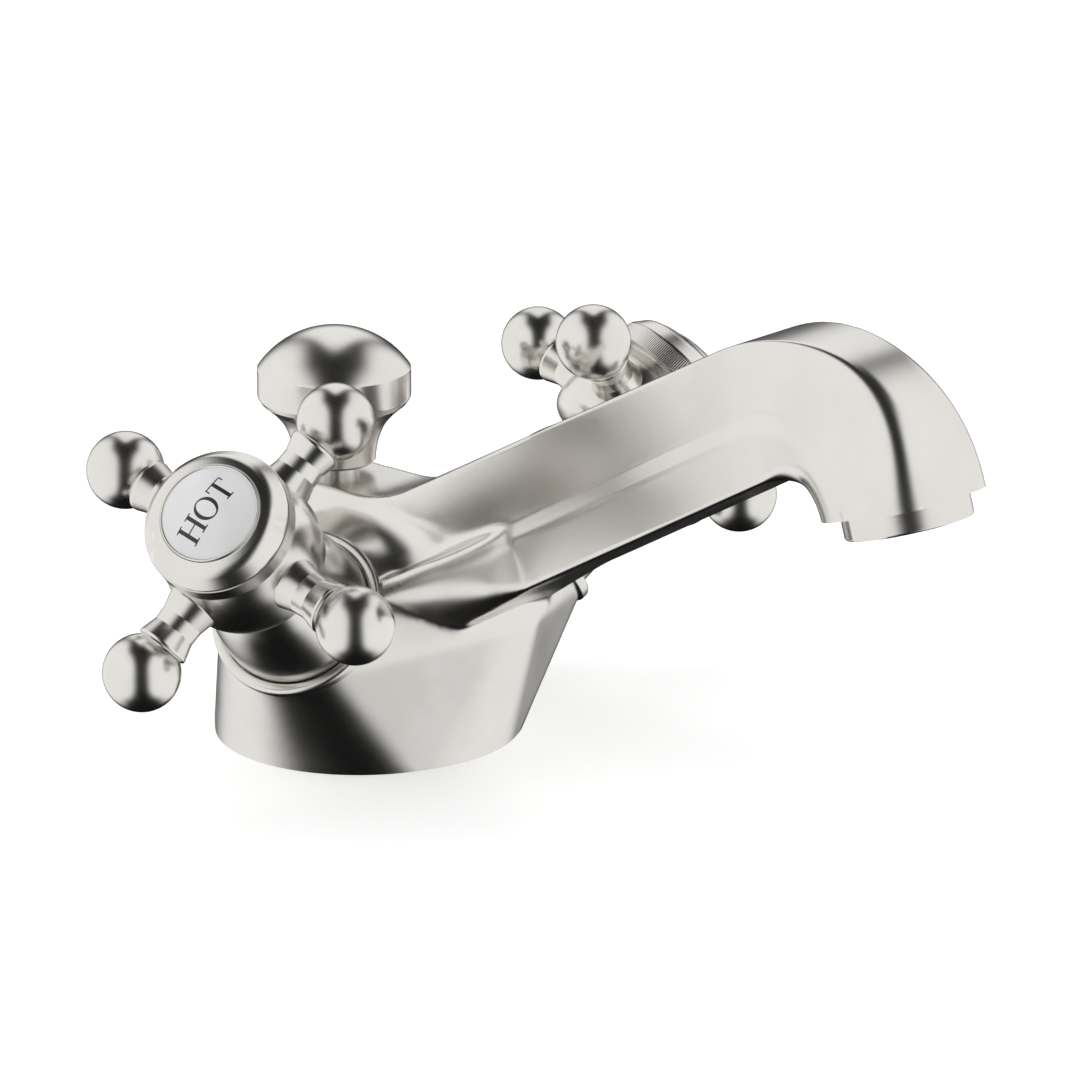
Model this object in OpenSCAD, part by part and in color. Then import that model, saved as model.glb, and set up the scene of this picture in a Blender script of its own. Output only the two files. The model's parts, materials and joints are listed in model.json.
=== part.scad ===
// Deck-mounted basin mixer tap with two cross handles, a square spout and a pop-up knob.
// Millimetres. The origin is the centre of the foot on the deck, +Z is up, the spout
// points towards -Y, and the hot handle is on the -X side.

/* [Foot and casting] */
// Radius of the round foot on the deck
foot_r = 27.7; // [25:0.1:32]
// Height of the upright edge of the foot
foot_edge = 2; // [1:0.5:4]
// Height of the flat top of the casting above the deck
top_z = 46.6; // [44:0.1:50]
// Half width of the flat top
top_half_w = 8.6; // [8:0.1:9]
// Distance from the tap's centre to the back end of the flat top
top_back = 17; // [15:0.5:20]
// Depth of the hollow in the underside of the foot
underside_recess = 4; // [2:0.5:6]
// Radius of the hollow in the underside of the foot
underside_r = 17.5; // [17:0.5:19]

/* [Valve ports] */
// Angle of a valve's axis above the deck
valve_lift = 38.8; // [34:0.2:42]
// Angle by which a valve's axis is swung forward from the sides
valve_turn = 19.6; // [14:0.2:24]
// Height at which both valve axes meet the middle plane
valve_root_z = 5.5; // [4:0.1:7]
// Distance forward of the tap's centre at which both valve axes meet
valve_root_y = 0.9; // [0:0.1:3]
// Distance along the valve's axis from that point to the face of its port
port_reach = 41.3; // [40:0.1:44]
// Radius of the casting's boss at the port
boss_r = 15.2; // [15:0.1:16.5]
// Radius of the rounded bead's section on the rim of the port
bead_r = 1; // [0.6:0.1:1.2]
// Radius of the port's recess, in which the shroud stands
recess_r = 13.85; // [13.7:0.05:14.1]
// Depth of the port's recess
recess_depth = 2; // [1.5:0.1:3]
// Radius of the threaded port bore, G 1/2
port_bore_r = 9.32; // [9.2:0.02:9.6]
// Depth of the port bore below the port's face
port_depth = 16; // [15:0.5:18]

/* [Spout] */
// Distance forward from the tap's centre to the centre of the outlet
spout_reach = 124.4; // [110:0.5:150]
// Height of the centre of the outlet face above the deck
outlet_z = 67.7; // [60:0.5:80]
// Slope of the straight run of the spout
spout_slope = 28.7; // [24:0.1:32]
// Angle by which the outlet face leans from level, so that the water runs forward
outlet_tilt = 16.8; // [10:0.2:20]
// Depth of the spout where the straight run ends
spout_depth = 23.8; // [22:0.1:26]
// Extra depth of the spout at its root
root_extra_depth = 1.4; // [0:0.1:3]
// Radius of the underside of the bend
bend_inner_r = 7.7; // [6:0.1:12]
// How far the top of the bend stands out beyond a true arc
bend_bulge = 3; // [0:0.1:5]
// Radius between the flat top and the slope of the spout
root_blend_r = 27; // [18:1:32]
// Half width across the top edges of the straight run
spout_top_half_w = 9; // [8.6:0.1:10]
// Half width across the lower band of the straight run
spout_low_half_w = 10.9; // [10.4:0.1:12]
// Half width of the spout at the outlet
outlet_half_w = 12.3; // [12:0.1:13.5]
// Radius of the outlet's upright corners
outlet_corner_r = 7.5; // [6:0.5:8]
// Height of the lower band on the sides of the straight run
band_h = 10.2; // [8:0.1:12]
// How far the lower band stands proud of the side above it
band_step = 0.8; // [0.3:0.1:1.2]
// Radius of the waterway in the spout
waterway_r = 4.5; // [3.5:0.1:5.5]

/* [Aerator] */
// Radius of the outlet's threaded bore, M20 x 1
outlet_bore_r = 9.6; // [9.3:0.1:10]
// Depth of the outlet's threaded bore
outlet_bore_depth = 11; // [9:0.5:13]
// Radius of the aerator's collar below the spout
collar_r = 11.1; // [10.8:0.1:11.6]
// Height of the aerator's collar
collar_h = 4; // [3:0.1:6]
// Distance from the aerator's axis to its four spanner flats
flat_reach = 10.55; // [10.4:0.05:10.7]

/* [Connections under the foot] */
// Distance of a hose inlet from the middle plane
inlet_x = 9.5; // [9:0.1:10]
// Distance of the hose inlets forward of the tap's centre
inlet_y = 5; // [4:0.1:6]
// Radius of an inlet's threaded bore, M10 x 1
inlet_r = 4.55; // [4.5:0.05:4.7]
// Depth of an inlet's threaded bore
inlet_depth = 9; // [7:0.5:10]
// Radius of the drilled water passages
passage_r = 2.8; // [2.2:0.1:3.2]
// Distance of the fixing stud's hole forward of the tap's centre
stud_y = 13.2; // [13:0.1:13.4]
// Radius of the fixing stud's threaded hole, M8
stud_r = 3.4; // [3.2:0.1:3.5]
// Depth of the fixing stud's threaded hole
stud_depth = 13; // [10:0.5:16]

/* [Pop-up knob] */
// Distance of the lift rod behind the tap's centre
rod_y = 7.4; // [7:0.1:8.4]
// Radius of the lift rod
rod_r = 2.5; // [2.3:0.1:2.8]
// Height of the guide bush above the flat top
bush_h = 1.8; // [1.2:0.1:3]
// Radius of the guide bush above the flat top
bush_r = 4.6; // [4.3:0.1:5.2]
// Radius of the knob's upright band
knob_r = 13.9; // [12:0.1:15]
// Height of the knob from its foot to the top of its dome
knob_h = 25.6; // [24:0.1:29]
// Radius of the knob's foot
knob_foot_r = 7.4; // [7:0.1:8]
// How far the knob and its rod are lifted to close the waste
lift_travel = 22; // [15:1:26]

/* [Handles] */
// Distance from the port's face to the plane of the four arms
arm_plane = 30; // [29:0.1:33]
// Distance from the handle's axis to the centre of a ball
ball_reach = 27.5; // [26:0.1:30]
// Radius of a ball
ball_r = 6.85; // [6:0.05:7.2]
// Turn of the arms about the handle's axis when the valve is closed
arm_turn = 24.7; // [0:0.1:90]
// Radius of an arm's waist
arm_waist_r = 3.9; // [3.4:0.1:4.2]
// Radius of an arm's foot and of its collar under the ball
arm_foot_r = 4.75; // [4.5:0.05:4.9]
// Greatest radius of the hub
hub_r = 14; // [13.6:0.1:14.4]
// Height of the hub from its lower edge to the seat of the cap
hub_h = 17.7; // [17.5:0.1:18.5]
// Radius of the cap's ribbed band
cap_r = 13.2; // [12.8:0.1:14]
// Height of the cap's ribbed band
band_cap_h = 3.5; // [3:0.1:4.5]
// Height of the cap's dome above its band
cap_dome_h = 3.5; // [3:0.1:4.5]
// Radius of the index disc
disc_r = 8.9; // [8.5:0.1:9.2]
// Rise of the index disc's crown above its rim
disc_crown = 2.1; // [1:0.1:2.6]
// Height of the gap between the shroud and the turning hub
hub_gap = 0.6; // [0.4:0.1:1.2]

/* [Valve inside] */
// Radius of the spindle in the headwork
spindle_r = 4.5; // [4.3:0.1:4.7]
// Greatest radius of the spindle's spline
spline_r = 4; // [3.9:0.1:4.2]
// Number of teeth on the spline
spline_teeth = 20; // [16:1:24]
// Radius of the ceramic discs
ceramic_r = 6.9; // [6.5:0.1:7]
// Thickness of a ceramic disc
ceramic_h = 2.4; // [2:0.1:2.8]
// Thickness of the seat seal under the headwork
seat_seal_h = 1.6; // [1.2:0.1:2]
// Distance across the flats of the headwork's hexagon
hex_af = 21.8; // [21:0.1:22]

/* [Clearances] */
// Radial running clearance of the spindle and of the lift rod
run_gap = 0.05; // [0.03:0.01:0.08]
// Radial clearance of threaded and pressed pieces in their seats
fit_gap = 0.05; // [0.03:0.01:0.1]

/* [Hidden] */
$fn = 64;
nickel = "#cdcac4";
bare_brass = "#b99a55";
white = "#e9e9ea";
ceramic_white = "#f2efe6";
black = "#26262a";
steel = "#9a9da0";
over = 1;

// Heights along a valve's axis, from the face of its port
recess_floor = -recess_depth;
port_floor = -port_depth;
headwork_foot = port_floor + seat_seal_h;
moving_disc_foot = headwork_foot + ceramic_h;
slide_gap = 0.05;
dog_foot = moving_disc_foot + slide_gap + ceramic_h;
dog_h = 2.6;
dog_slot_w = 3;
dog_slot_h = 1.4;
port_gasket_h = 1;
port_gasket_r = 12;
hex_foot = recess_floor + port_gasket_h;
hex_h = 5;
neck_r = 7.4;
neck_top = 17;
clip_gap = 0.2;
clip_h = 0.8;
clip_r = 6;
hub_foot = arm_plane - 9.6;
hub_top = hub_foot + hub_h;
shroud_top = hub_foot - hub_gap;
shroud_r = recess_r - 0.15;
shroud_wall_in = hex_af / (2 * cos(30)) + 0.25;
spline_top = arm_plane - 1.1;
web_top = arm_plane + 0.2;
cap_band_top = hub_top + band_cap_h;
cap_top = cap_band_top + cap_dome_h;
cap_rim_r = disc_r + 0.5;
disc_seat = cap_top - 1.6;
spigot_r = 8.5;
spigot_h = 3;
screw_r = 2;
screw_head_r = 3.9;
screw_head_h = 2.6;
screw_length = 9;
arm_thread_r = 2.9;
arm_thread_in = 7.6;
arm_seat = hub_r - 2.4;
oring_r = 0.64;
oring_u = 12;
chamber_u = port_floor + 4.5;

// The bend of the spout turns about one point in the middle plane
outlet_depth = 2 * (outlet_half_w - 0.5);
bend_end = outlet_tilt - 90;
outlet_mid_r = bend_inner_r + outlet_depth / 2;
bend_y = -spout_reach + outlet_mid_r * cos(outlet_tilt);
bend_z = outlet_z - outlet_mid_r * sin(outlet_tilt);
bend_outer_r = bend_inner_r + spout_depth;
// The line of the spout's top meets the flat top here
root_y = bend_y + (bend_outer_r + (bend_z - top_z) * cos(spout_slope)) / sin(spout_slope);
root_run = root_blend_r * tan(spout_slope / 2);
// Length of the straight run, from the end of the root's blend to the bend
slope_start = [root_y - root_run * cos(spout_slope), top_z + root_run * sin(spout_slope)];
bend_top = [bend_y + bend_outer_r * sin(spout_slope), bend_z + bend_outer_r * cos(spout_slope)];
slope_run = norm(bend_top - slope_start);

// Helpers
function mix(a, b, t) = a + (b - a) * t;
function ease(t) = t * t * (3 - 2 * t);
// Upward direction of a section whose path climbs at angle a, as [y, z]
function up_of(a) = [sin(a), cos(a)];

module ring(outer, inner, h) {
    difference() {
        cylinder(r = outer, h = h);
        translate([0, 0, -over]) cylinder(r = inner, h = h + 2 * over);
    }
}

// A straight drilled passage between two points
module drilled(from, to, r) {
    d = to - from;
    translate(from)
        rotate([0, acos(d[2] / norm(d)), atan2(d[1], d[0])])
            cylinder(r = r, h = norm(d));
}

// Puts a child on a valve's axis, with z = 0 on the face of its port
module at_port(side) {
    mirror([side == "hot" ? 1 : 0, 0, 0])
        translate([0, -valve_root_y, valve_root_z])
            rotate([0, 0, -valve_turn]) rotate([0, 90 - valve_lift, 0])
                translate([0, 0, port_reach]) children();
}

// Point on the cold valve's axis at height u above the port's face
function on_axis(u) = [0, -valve_root_y, valve_root_z] + (port_reach + u) *
    [cos(valve_lift) * cos(valve_turn), -cos(valve_lift) * sin(valve_turn), sin(valve_lift)];

// Puts a child at the outlet, with z = 0 on the outlet face and +z along the water
module at_outlet() {
    translate([0, -spout_reach, outlet_z]) rotate([180 - outlet_tilt, 0, 0]) children();
}

// Spout: half a section from the middle of the top down to the middle of the underside
arc_steps = 5;
function corner(cx, cv, r, a0, a1) =
    [for (i = [0:arc_steps]) let (a = mix(a0, a1, i / arc_steps)) [cx + r * cos(a), cv + r * sin(a)]];
function half_section(h, top_w, top_r, step_w, low_w, low_r, band) = concat(
    corner(top_w - top_r, h - top_r, top_r, 90, 0),
    [[step_w, band + 0.9], [mix(step_w, low_w, 0.25), band + 0.3],
        [mix(step_w, low_w, 0.75), band - 0.5], [low_w, band - 1.1]],
    corner(low_w - low_r, low_r, low_r, 0, -90));
function whole_section(half) = concat(half,
    [for (i = [len(half) - 1:-1:0]) [-half[i][0], half[i][1]]]);

// A station is [top point, path angle, depth, share of the way round the bend, share along the run]
bulge_sharpness = 1.4;
back_steps = 2;
root_sink = 0.3;
blend_steps = 4;
run_steps = 6;
bend_steps = 16;
function bend_out(t) = bend_outer_r * (1 - t) + (bend_inner_r + outlet_depth) * t
    + bend_bulge * pow(sin(180 * pow(t, bulge_sharpness)), 2);
root_depth = spout_depth + root_extra_depth;
stations = concat(
    [for (i = [0:back_steps - 1])
        [[mix(root_y + root_run + 8, root_y + root_run, i / back_steps), top_z - root_sink],
            0, root_depth, 0, 0]],
    [for (i = [0:blend_steps - 1]) let (a = spout_slope * i / blend_steps)
        [[root_y + root_run - root_blend_r * sin(a),
            top_z - root_sink * (1 - i / blend_steps) + root_blend_r * (1 - cos(a))],
            a, root_depth, 0, 0]],
    [for (i = [0:run_steps - 1]) let (t = i / run_steps)
        [mix(slope_start, bend_top, t), spout_slope, mix(root_depth, spout_depth, t), 0, t]],
    [for (i = [0:bend_steps]) let (t = i / bend_steps, a = mix(spout_slope, bend_end, t),
        out = bend_out(t))
        [[bend_y, bend_z] + out * up_of(a), a, out - bend_inner_r, t, 1]]);
function station_ring(s) = let (
    k = ease(s[3]),
    root_top = mix(top_half_w - root_sink, spout_top_half_w, min(1, s[1] / spout_slope)),
    base_top = mix(s[3] > 0 ? spout_top_half_w : root_top, outlet_half_w, k),
    low = mix(spout_low_half_w, outlet_half_w, k),
    up = up_of(s[1]),
    section = whole_section(half_section(s[2], base_top, mix(0.8, outlet_corner_r, k * k),
        low - band_step * (1 - k), low, mix(1, outlet_corner_r - 1, k * k),
        mix(band_h, outlet_corner_r, k))))
    [for (p = section) [p[0], s[0][0] + up[0] * (p[1] - s[2]), s[0][1] + up[1] * (p[1] - s[2])]];

// Skin over a row of equal rings, closed at both ends; fanned ends spread from each ring's first point
module skin(rings, fanned = false) {
    n = len(rings[0]);
    last = len(rings) - 1;
    points = [for (r = rings) each r];
    sides = [for (j = [0:last - 1]) for (i = [0:n - 1]) let (k = (i + 1) % n)
        each [[j * n + i, j * n + k, (j + 1) * n + k], [j * n + i, (j + 1) * n + k, (j + 1) * n + i]]];
    ends = fanned
        ? [for (i = [1:n - 2]) each [[0, i + 1, i], [last * n, last * n + i, last * n + i + 1]]]
        : [[for (i = [n - 1:-1:0]) i], [for (i = [0:n - 1]) last * n + i]];
    polyhedron(points = points, faces = concat(sides, ends), convexity = 6);
}

module spout_shape() {
    skin([for (s = stations) station_ring(s)]);
}

// A disc inside a port's boss, from which a hull of the casting starts
boss_inset = 0.3;
module boss_disc(side) {
    at_port(side) translate([0, 0, -bead_r - 1 - boss_inset])
        cylinder(r = boss_r - boss_inset, h = 1, $fn = 40);
}

// Point on the edge of the cold boss's disc, at an angle forward from its top
port_up = [-sin(valve_lift) * cos(valve_turn), sin(valve_lift) * sin(valve_turn), cos(valve_lift)];
port_forward = [-sin(valve_turn), -cos(valve_turn), 0];
function spoke(a) = cos(a) * port_up + sin(a) * port_forward;
function boss_point(a) = on_axis(-bead_r - boss_inset) + (boss_r - boss_inset) * spoke(a);

// Foot and both port bosses with the throat under the spout, and the flat top with its back
top_plate = 2;
top_corner_r = 5;
throat_inset = 0.7;
throat_h = 8;
back_fill_r = 12.4;
back_fill_drop = 10.6;
module shoulders() {
    hull() {
        cylinder(r = foot_r, h = foot_edge, $fn = 64);
        boss_disc("hot");
        boss_disc("cold");
        translate([0, root_y - root_blend_r * 0.6, top_z - root_depth * 0.8]) rotate([spout_slope, 0, 0])
            cylinder(r = spout_low_half_w - throat_inset, h = throat_h, center = true, $fn = 32);
        translate([0, top_back - back_fill_r + 1.4, top_z - back_fill_drop])
            cylinder(r = back_fill_r, h = 1, $fn = 48);
    }
    hull() {
        cylinder(r = foot_r - boss_inset, h = foot_edge - boss_inset, $fn = 64);
        translate([-top_half_w, root_y + 2, top_z - top_plate]) cube([2 * top_half_w, 1, top_plate]);
        for (x = [-1, 1])
            translate([x * (top_half_w - top_corner_r), top_back - top_corner_r, top_z - top_plate])
                cylinder(r = top_corner_r, h = top_plate, $fn = 32);
    }
}

// Where the saddle meets the flat top and the spout, as offsets from the corner where those begin
saddle_line = [[0.2, -26, 0.9], [0, -5.4, 0.9], [-0.3, 4, -0.2], [-0.4, 11.6, -0.4], [-0.4, 18.6, -0.9],
    [0, 23.6, -3.2], [0.9, 25.4, -6.6]];
lobe_angle = 70;
back_angle = -90;
saddle_steps = 6;
saddle_core = [0, root_y, top_z - 16];
// Hollow curve from the boss to the top, and back through the inside of the casting
function saddle_ring(a, inner) = let (
    rim = boss_point(a),
    bend = [inner[0] + 0.5, mix(rim[1], inner[1], 0.55), mix(rim[2], inner[2], 0.12)])
    concat([mix(bend, saddle_core, 0.35)],
        [for (i = [0:saddle_steps]) let (t = i / saddle_steps)
            rim * pow(1 - t, 2) + bend * 2 * t * (1 - t) + inner * t * t],
        [inner - [3, 0, 1.5]]);
module saddle() {
    last = len(saddle_line) - 1;
    skin([for (i = [0:last]) saddle_ring(mix(lobe_angle, back_angle, i / last),
        [top_half_w, root_y, top_z] + saddle_line[i])], fanned = true);
}

// Lobes that carry the spout's lower band back to the front of each port
module lobes() {
    tip_r = 1;
    half_w = spout_low_half_w - 0.6;
    hull() {
        for (sign = [-1, 1]) mirror([sign < 0 ? 1 : 0, 0, 0])
            translate(boss_point(lobe_angle) - tip_r * spoke(lobe_angle)) sphere(r = tip_r, $fn = 16);
        for (s = [[0.1, 0.06, 0.8], [0.34, 0.42, 0.45]]) {
            place = mix(slope_start, bend_top, s[0])
                - up_of(spout_slope) * (mix(root_depth, spout_depth, s[0]) - band_h * s[1]);
            translate([-half_w, place[0], place[1]]) rotate([-spout_slope, 0, 0])
                cube([2 * half_w, 0.5, band_h * s[2]]);
        }
    }
}

// Rounded bead on the rim of a port
module port_bead() {
    rotate_extrude() translate([boss_r - bead_r + 0.5, -bead_r + 0.4]) circle(r = bead_r, $fn = 32);
    translate([0, 0, -bead_r - 4]) cylinder(r = boss_r, h = 4 + bead_r - 0.6);
}

module port_cuts(side) {
    at_port(side) {
        translate([0, 0, recess_floor]) cylinder(r = recess_r, h = recess_depth + 3);
        translate([0, 0, port_floor]) cylinder(r = port_bore_r, h = port_depth + 1);
    }
}

mixing_point = [0, root_y - 8, top_z - root_depth * 0.45];
module water_cuts(sign) {
    mirror([sign < 0 ? 1 : 0, 0, 0]) {
        translate([inlet_x, -inlet_y, underside_recess - over])
            cylinder(r = inlet_r, h = inlet_depth + over);
        drilled([inlet_x, -inlet_y, underside_recess + inlet_depth - 2], on_axis(port_floor + 1),
            passage_r);
        drilled(on_axis(chamber_u), mixing_point, passage_r);
    }
}

// Waterway of the spout: drilled run, elbow round the bend and the outlet's threaded bore
module spout_cuts() {
    run_top = [0, bend_y + outlet_mid_r * sin(spout_slope), bend_z + outlet_mid_r * cos(spout_slope)];
    drilled(mixing_point, run_top, waterway_r);
    translate(mixing_point) sphere(r = waterway_r);
    translate([0, bend_y, bend_z]) rotate([90, 0, 90])
        rotate([0, 0, 90 - spout_slope])
            rotate_extrude(angle = spout_slope + 90 - outlet_tilt)
                translate([outlet_mid_r, 0]) circle(r = waterway_r, $fn = 32);
    at_outlet() translate([0, 0, -outlet_bore_depth])
        cylinder(r = outlet_bore_r, h = outlet_bore_depth + over);
}

module body_casting() {
    color(nickel) difference() {
        union() {
            shoulders();
            saddle();
            mirror([1, 0, 0]) saddle();
            lobes();
            spout_shape();
            for (side = ["hot", "cold"]) at_port(side) port_bead();
        }
        for (side = ["hot", "cold"]) port_cuts(side);
        water_cuts(1);
        water_cuts(-1);
        spout_cuts();
        translate([0, 0, -over]) cylinder(r = underside_r, h = underside_recess + over);
        translate([0, 0, -over]) ring(seal_outer_r, seal_inner_r, seal_h + over);
        translate([0, -stud_y, 0]) cylinder(r = stud_r, h = underside_recess + stud_depth);
        translate([0, rod_y, 0]) cylinder(r = bush_shank_r + fit_gap, h = top_z + over);
    }
}

// Deck seal in its groove under the foot
seal_outer_r = foot_r - 2.2;
seal_inner_r = underside_r + 2;
seal_h = 2.2;
module deck_seal() {
    color(black) ring(seal_outer_r - fit_gap, seal_inner_r + fit_gap, seal_h);
}

// Aerator: threaded barrel and collar with four flats, plastic insert and gasket
barrel_wall = 1.4;
gasket_h = 1.5;
insert_h = 6.5;
insert_r = outlet_bore_r - fit_gap - barrel_wall;
insert_lip_h = 1.2;
barrel_h = outlet_bore_depth - gasket_h;
module aerator_housing() {
    color(nickel) at_outlet() difference() {
        union() {
            translate([0, 0, -barrel_h]) cylinder(r = outlet_bore_r - fit_gap, h = barrel_h);
            intersection() {
                rotate_extrude() polygon([[0, 0], [collar_r, 0], [collar_r, collar_h - 0.5],
                    [collar_r - 0.5, collar_h], [0, collar_h]]);
                translate([-flat_reach, -flat_reach, 0])
                    cube([2 * flat_reach, 2 * flat_reach, collar_h]);
            }
        }
        translate([0, 0, -barrel_h - over]) cylinder(r = insert_r + fit_gap, h = barrel_h + over
            + collar_h - insert_lip_h);
        translate([0, 0, -over]) cylinder(r = insert_r - 0.8, h = collar_h + 2 * over);
    }
}

module aerator_insert() {
    slot_w = 0.9;
    slots = 5;
    foot = collar_h - insert_lip_h - insert_h;
    color("#d9dadb") at_outlet() difference() {
        translate([0, 0, foot]) cylinder(r = insert_r, h = insert_h);
        for (i = [-(slots - 1) / 2:(slots - 1) / 2])
            translate([i * 2.2 - slot_w / 2, -insert_r + 2.4, foot - over])
                cube([slot_w, 2 * insert_r - 4.8, insert_h + 2 * over]);
    }
}

module aerator_gasket() {
    color(black) at_outlet() translate([0, 0, -outlet_bore_depth])
        ring(outlet_bore_r - fit_gap, waterway_r + 1.2, gasket_h);
}

// Pop-up rod, its bush and its knob
bush_shank_r = rod_r + 1.1;
bush_shank_h = 12;
knob_foot_z = top_z + bush_h + 0.1;
module rod_guide_bush() {
    color(nickel) translate([0, rod_y, 0]) difference() {
        union() {
            translate([0, 0, top_z - bush_shank_h]) cylinder(r = bush_shank_r, h = bush_shank_h);
            translate([0, 0, top_z]) cylinder(r = bush_r, h = bush_h);
        }
        translate([0, 0, top_z - bush_shank_h - over])
            cylinder(r = rod_r + run_gap, h = bush_shank_h + bush_h + 2 * over);
    }
}

rod_foot_z = 1.5;
rod_socket = 8;
pull_thread_r = 1.65;
pull_thread_depth = 8;
module lift_rod() {
    color(nickel) translate([0, rod_y, rod_foot_z]) difference() {
        union() {
            cylinder(r1 = rod_r - 0.5, r2 = rod_r, h = 0.5);
            translate([0, 0, 0.5]) cylinder(r = rod_r, h = knob_foot_z + rod_socket - rod_foot_z - 0.5);
        }
        translate([0, 0, -over]) cylinder(r = pull_thread_r, h = pull_thread_depth + over);
    }
}

// Outline of the knob: foot, trumpet neck, upright band with a rounded lower corner, dome
dome_steps = 8;
module lift_knob() {
    band_foot = 12.3 / 25.6 * knob_h;
    band_head = 18.2 / 25.6 * knob_h;
    dome_h = knob_h - band_head;
    dome_r = (knob_r * knob_r + dome_h * dome_h) / (2 * dome_h);
    dome_a = asin(knob_r / dome_r);
    neck = [[knob_foot_r - 0.3, 0], [knob_foot_r, 0.3], [knob_foot_r + 0.1, 1.6],
        [knob_foot_r + 0.5, 3.8], [knob_foot_r + 1.1, 5.6], [knob_foot_r + 2, 7.4],
        [knob_foot_r + 3.5, 9.2], [knob_foot_r + 4.7, 10.3]];
    color(nickel) translate([0, rod_y, knob_foot_z]) difference() {
        rotate_extrude() polygon(concat([[0, 0]], neck,
            [[knob_r - 0.9, band_foot - 1.1], [knob_r - 0.3, band_foot - 0.6], [knob_r, band_foot]],
            [for (i = [0:dome_steps]) let (a = dome_a * (1 - i / dome_steps))
                [dome_r * sin(a), knob_h - dome_r + dome_r * cos(a)]]));
        translate([0, 0, -over]) cylinder(r = rod_r + fit_gap, h = rod_socket + over);
    }
}

// Fixed pieces of a valve
module shroud(side) {
    top_r = 9.3;
    bell = [[shroud_r, recess_floor], [shroud_r, 3], [13.1, 8.5], [11.9, 14], [10.4, 17.8],
        [top_r, shroud_top]];
    color(nickel) at_port(side) rotate_extrude() polygon(concat(bell,
        [[neck_r + fit_gap, shroud_top], [neck_r + fit_gap, neck_top - 2.5],
            [neck_r + 1.6, neck_top - 3.5], [shroud_wall_in - 1.2, 11], [shroud_wall_in, 5],
            [shroud_wall_in, recess_floor]]));
}

module headwork(side) {
    window_w = 5;
    color(bare_brass) at_port(side) difference() {
        union() {
            translate([0, 0, headwork_foot]) cylinder(r = 7.9, h = 6.5);
            translate([0, 0, headwork_foot + 6.5])
                cylinder(r = port_bore_r - fit_gap, h = hex_foot - headwork_foot - 6.5);
            translate([0, 0, hex_foot]) cylinder(r = hex_af / (2 * cos(30)), h = hex_h, $fn = 6);
            translate([0, 0, hex_foot + hex_h]) cylinder(r = neck_r, h = neck_top - hex_foot - hex_h);
        }
        translate([0, 0, headwork_foot - over])
            cylinder(r = ceramic_r + fit_gap, h = dog_foot + dog_h + 0.3 - headwork_foot + over);
        translate([0, 0, port_floor]) cylinder(r = spindle_r + run_gap, h = neck_top + port_depth + over);
        translate([-port_bore_r, -window_w / 2, dog_foot - 0.4]) cube([2 * port_bore_r, window_w, 2.4]);
    }
}

module port_gasket(side) {
    color(black) at_port(side) translate([0, 0, recess_floor])
        ring(port_gasket_r, port_bore_r, port_gasket_h);
}

module seat_seal(side) {
    color(black) at_port(side) translate([0, 0, port_floor])
        ring(7.6, 3.6, seat_seal_h);
}

// Ceramic disc with two openings a quarter turn from its shut places
module ceramic_disc() {
    difference() {
        cylinder(r = ceramic_r, h = ceramic_h);
        for (a = [0, 180]) rotate([0, 0, a]) translate([3.6, 0, -over])
            cylinder(r = 1.9, h = ceramic_h + 2 * over);
    }
}

module fixed_disc(side) {
    color(ceramic_white) at_port(side) translate([0, 0, headwork_foot]) ceramic_disc();
}

module moving_disc(side) {
    color(ceramic_white) at_port(side) translate([0, 0, moving_disc_foot + slide_gap])
        rotate([0, 0, 90]) difference() {
            ceramic_disc();
            translate([-ceramic_r - over, -dog_slot_w / 2, ceramic_h - dog_slot_h])
                cube([2 * ceramic_r + 2 * over, dog_slot_w, dog_slot_h + over]);
        }
}

// Turning pieces of a valve and its handle
function spline_outline(outer, inner) = [for (i = [0:spline_teeth - 1])
    for (p = [[0.15, outer], [0.35, outer], [0.65, inner], [0.85, inner]])
        let (a = 360 * (i + p[0]) / spline_teeth) [p[1] * cos(a), p[1] * sin(a)]];
module spindle(side) {
    groove = spindle_r - 2 * oring_r;
    color(bare_brass) at_port(side) difference() {
        union() {
            translate([0, 0, dog_foot]) cylinder(r = ceramic_r - 0.1, h = dog_h);
            translate([0, 0, dog_foot]) cylinder(r = spindle_r, h = hub_foot - dog_foot - 1.2);
            translate([0, 0, hub_foot - 1.2]) linear_extrude(height = spline_top - hub_foot + 1.2)
                polygon(spline_outline(spline_r, spline_r - 0.45));
            rotate([0, 0, 90])
                translate([-ceramic_r + 0.4, -dog_slot_w / 2 + 0.1, dog_foot - dog_slot_h + 0.1])
                cube([2 * ceramic_r - 0.8, dog_slot_w - 0.2, dog_slot_h]);
        }
        translate([0, 0, oring_u - oring_r - 0.1]) ring(spindle_r + over, groove, 2 * oring_r + 0.2);
        translate([0, 0, neck_top + clip_gap]) ring(spindle_r + over, clip_r - 2.4, clip_h + 0.1);
        translate([0, 0, spline_top - screw_length + 1]) cylinder(r = screw_r + fit_gap, h = screw_length);
    }
}

module spindle_oring(side) {
    color(black) at_port(side) translate([0, 0, oring_u]) rotate_extrude()
        translate([spindle_r - oring_r + 0.01, 0]) circle(r = oring_r - 0.01, $fn = 32);
}

module spindle_clip(side) {
    color(steel) at_port(side) translate([0, 0, neck_top + clip_gap + 0.05]) difference() {
        ring(clip_r, clip_r - 2.35, clip_h);
        translate([0, -1.6, -over]) cube([clip_r + over, 3.2, clip_h + 2 * over]);
    }
}

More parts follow.
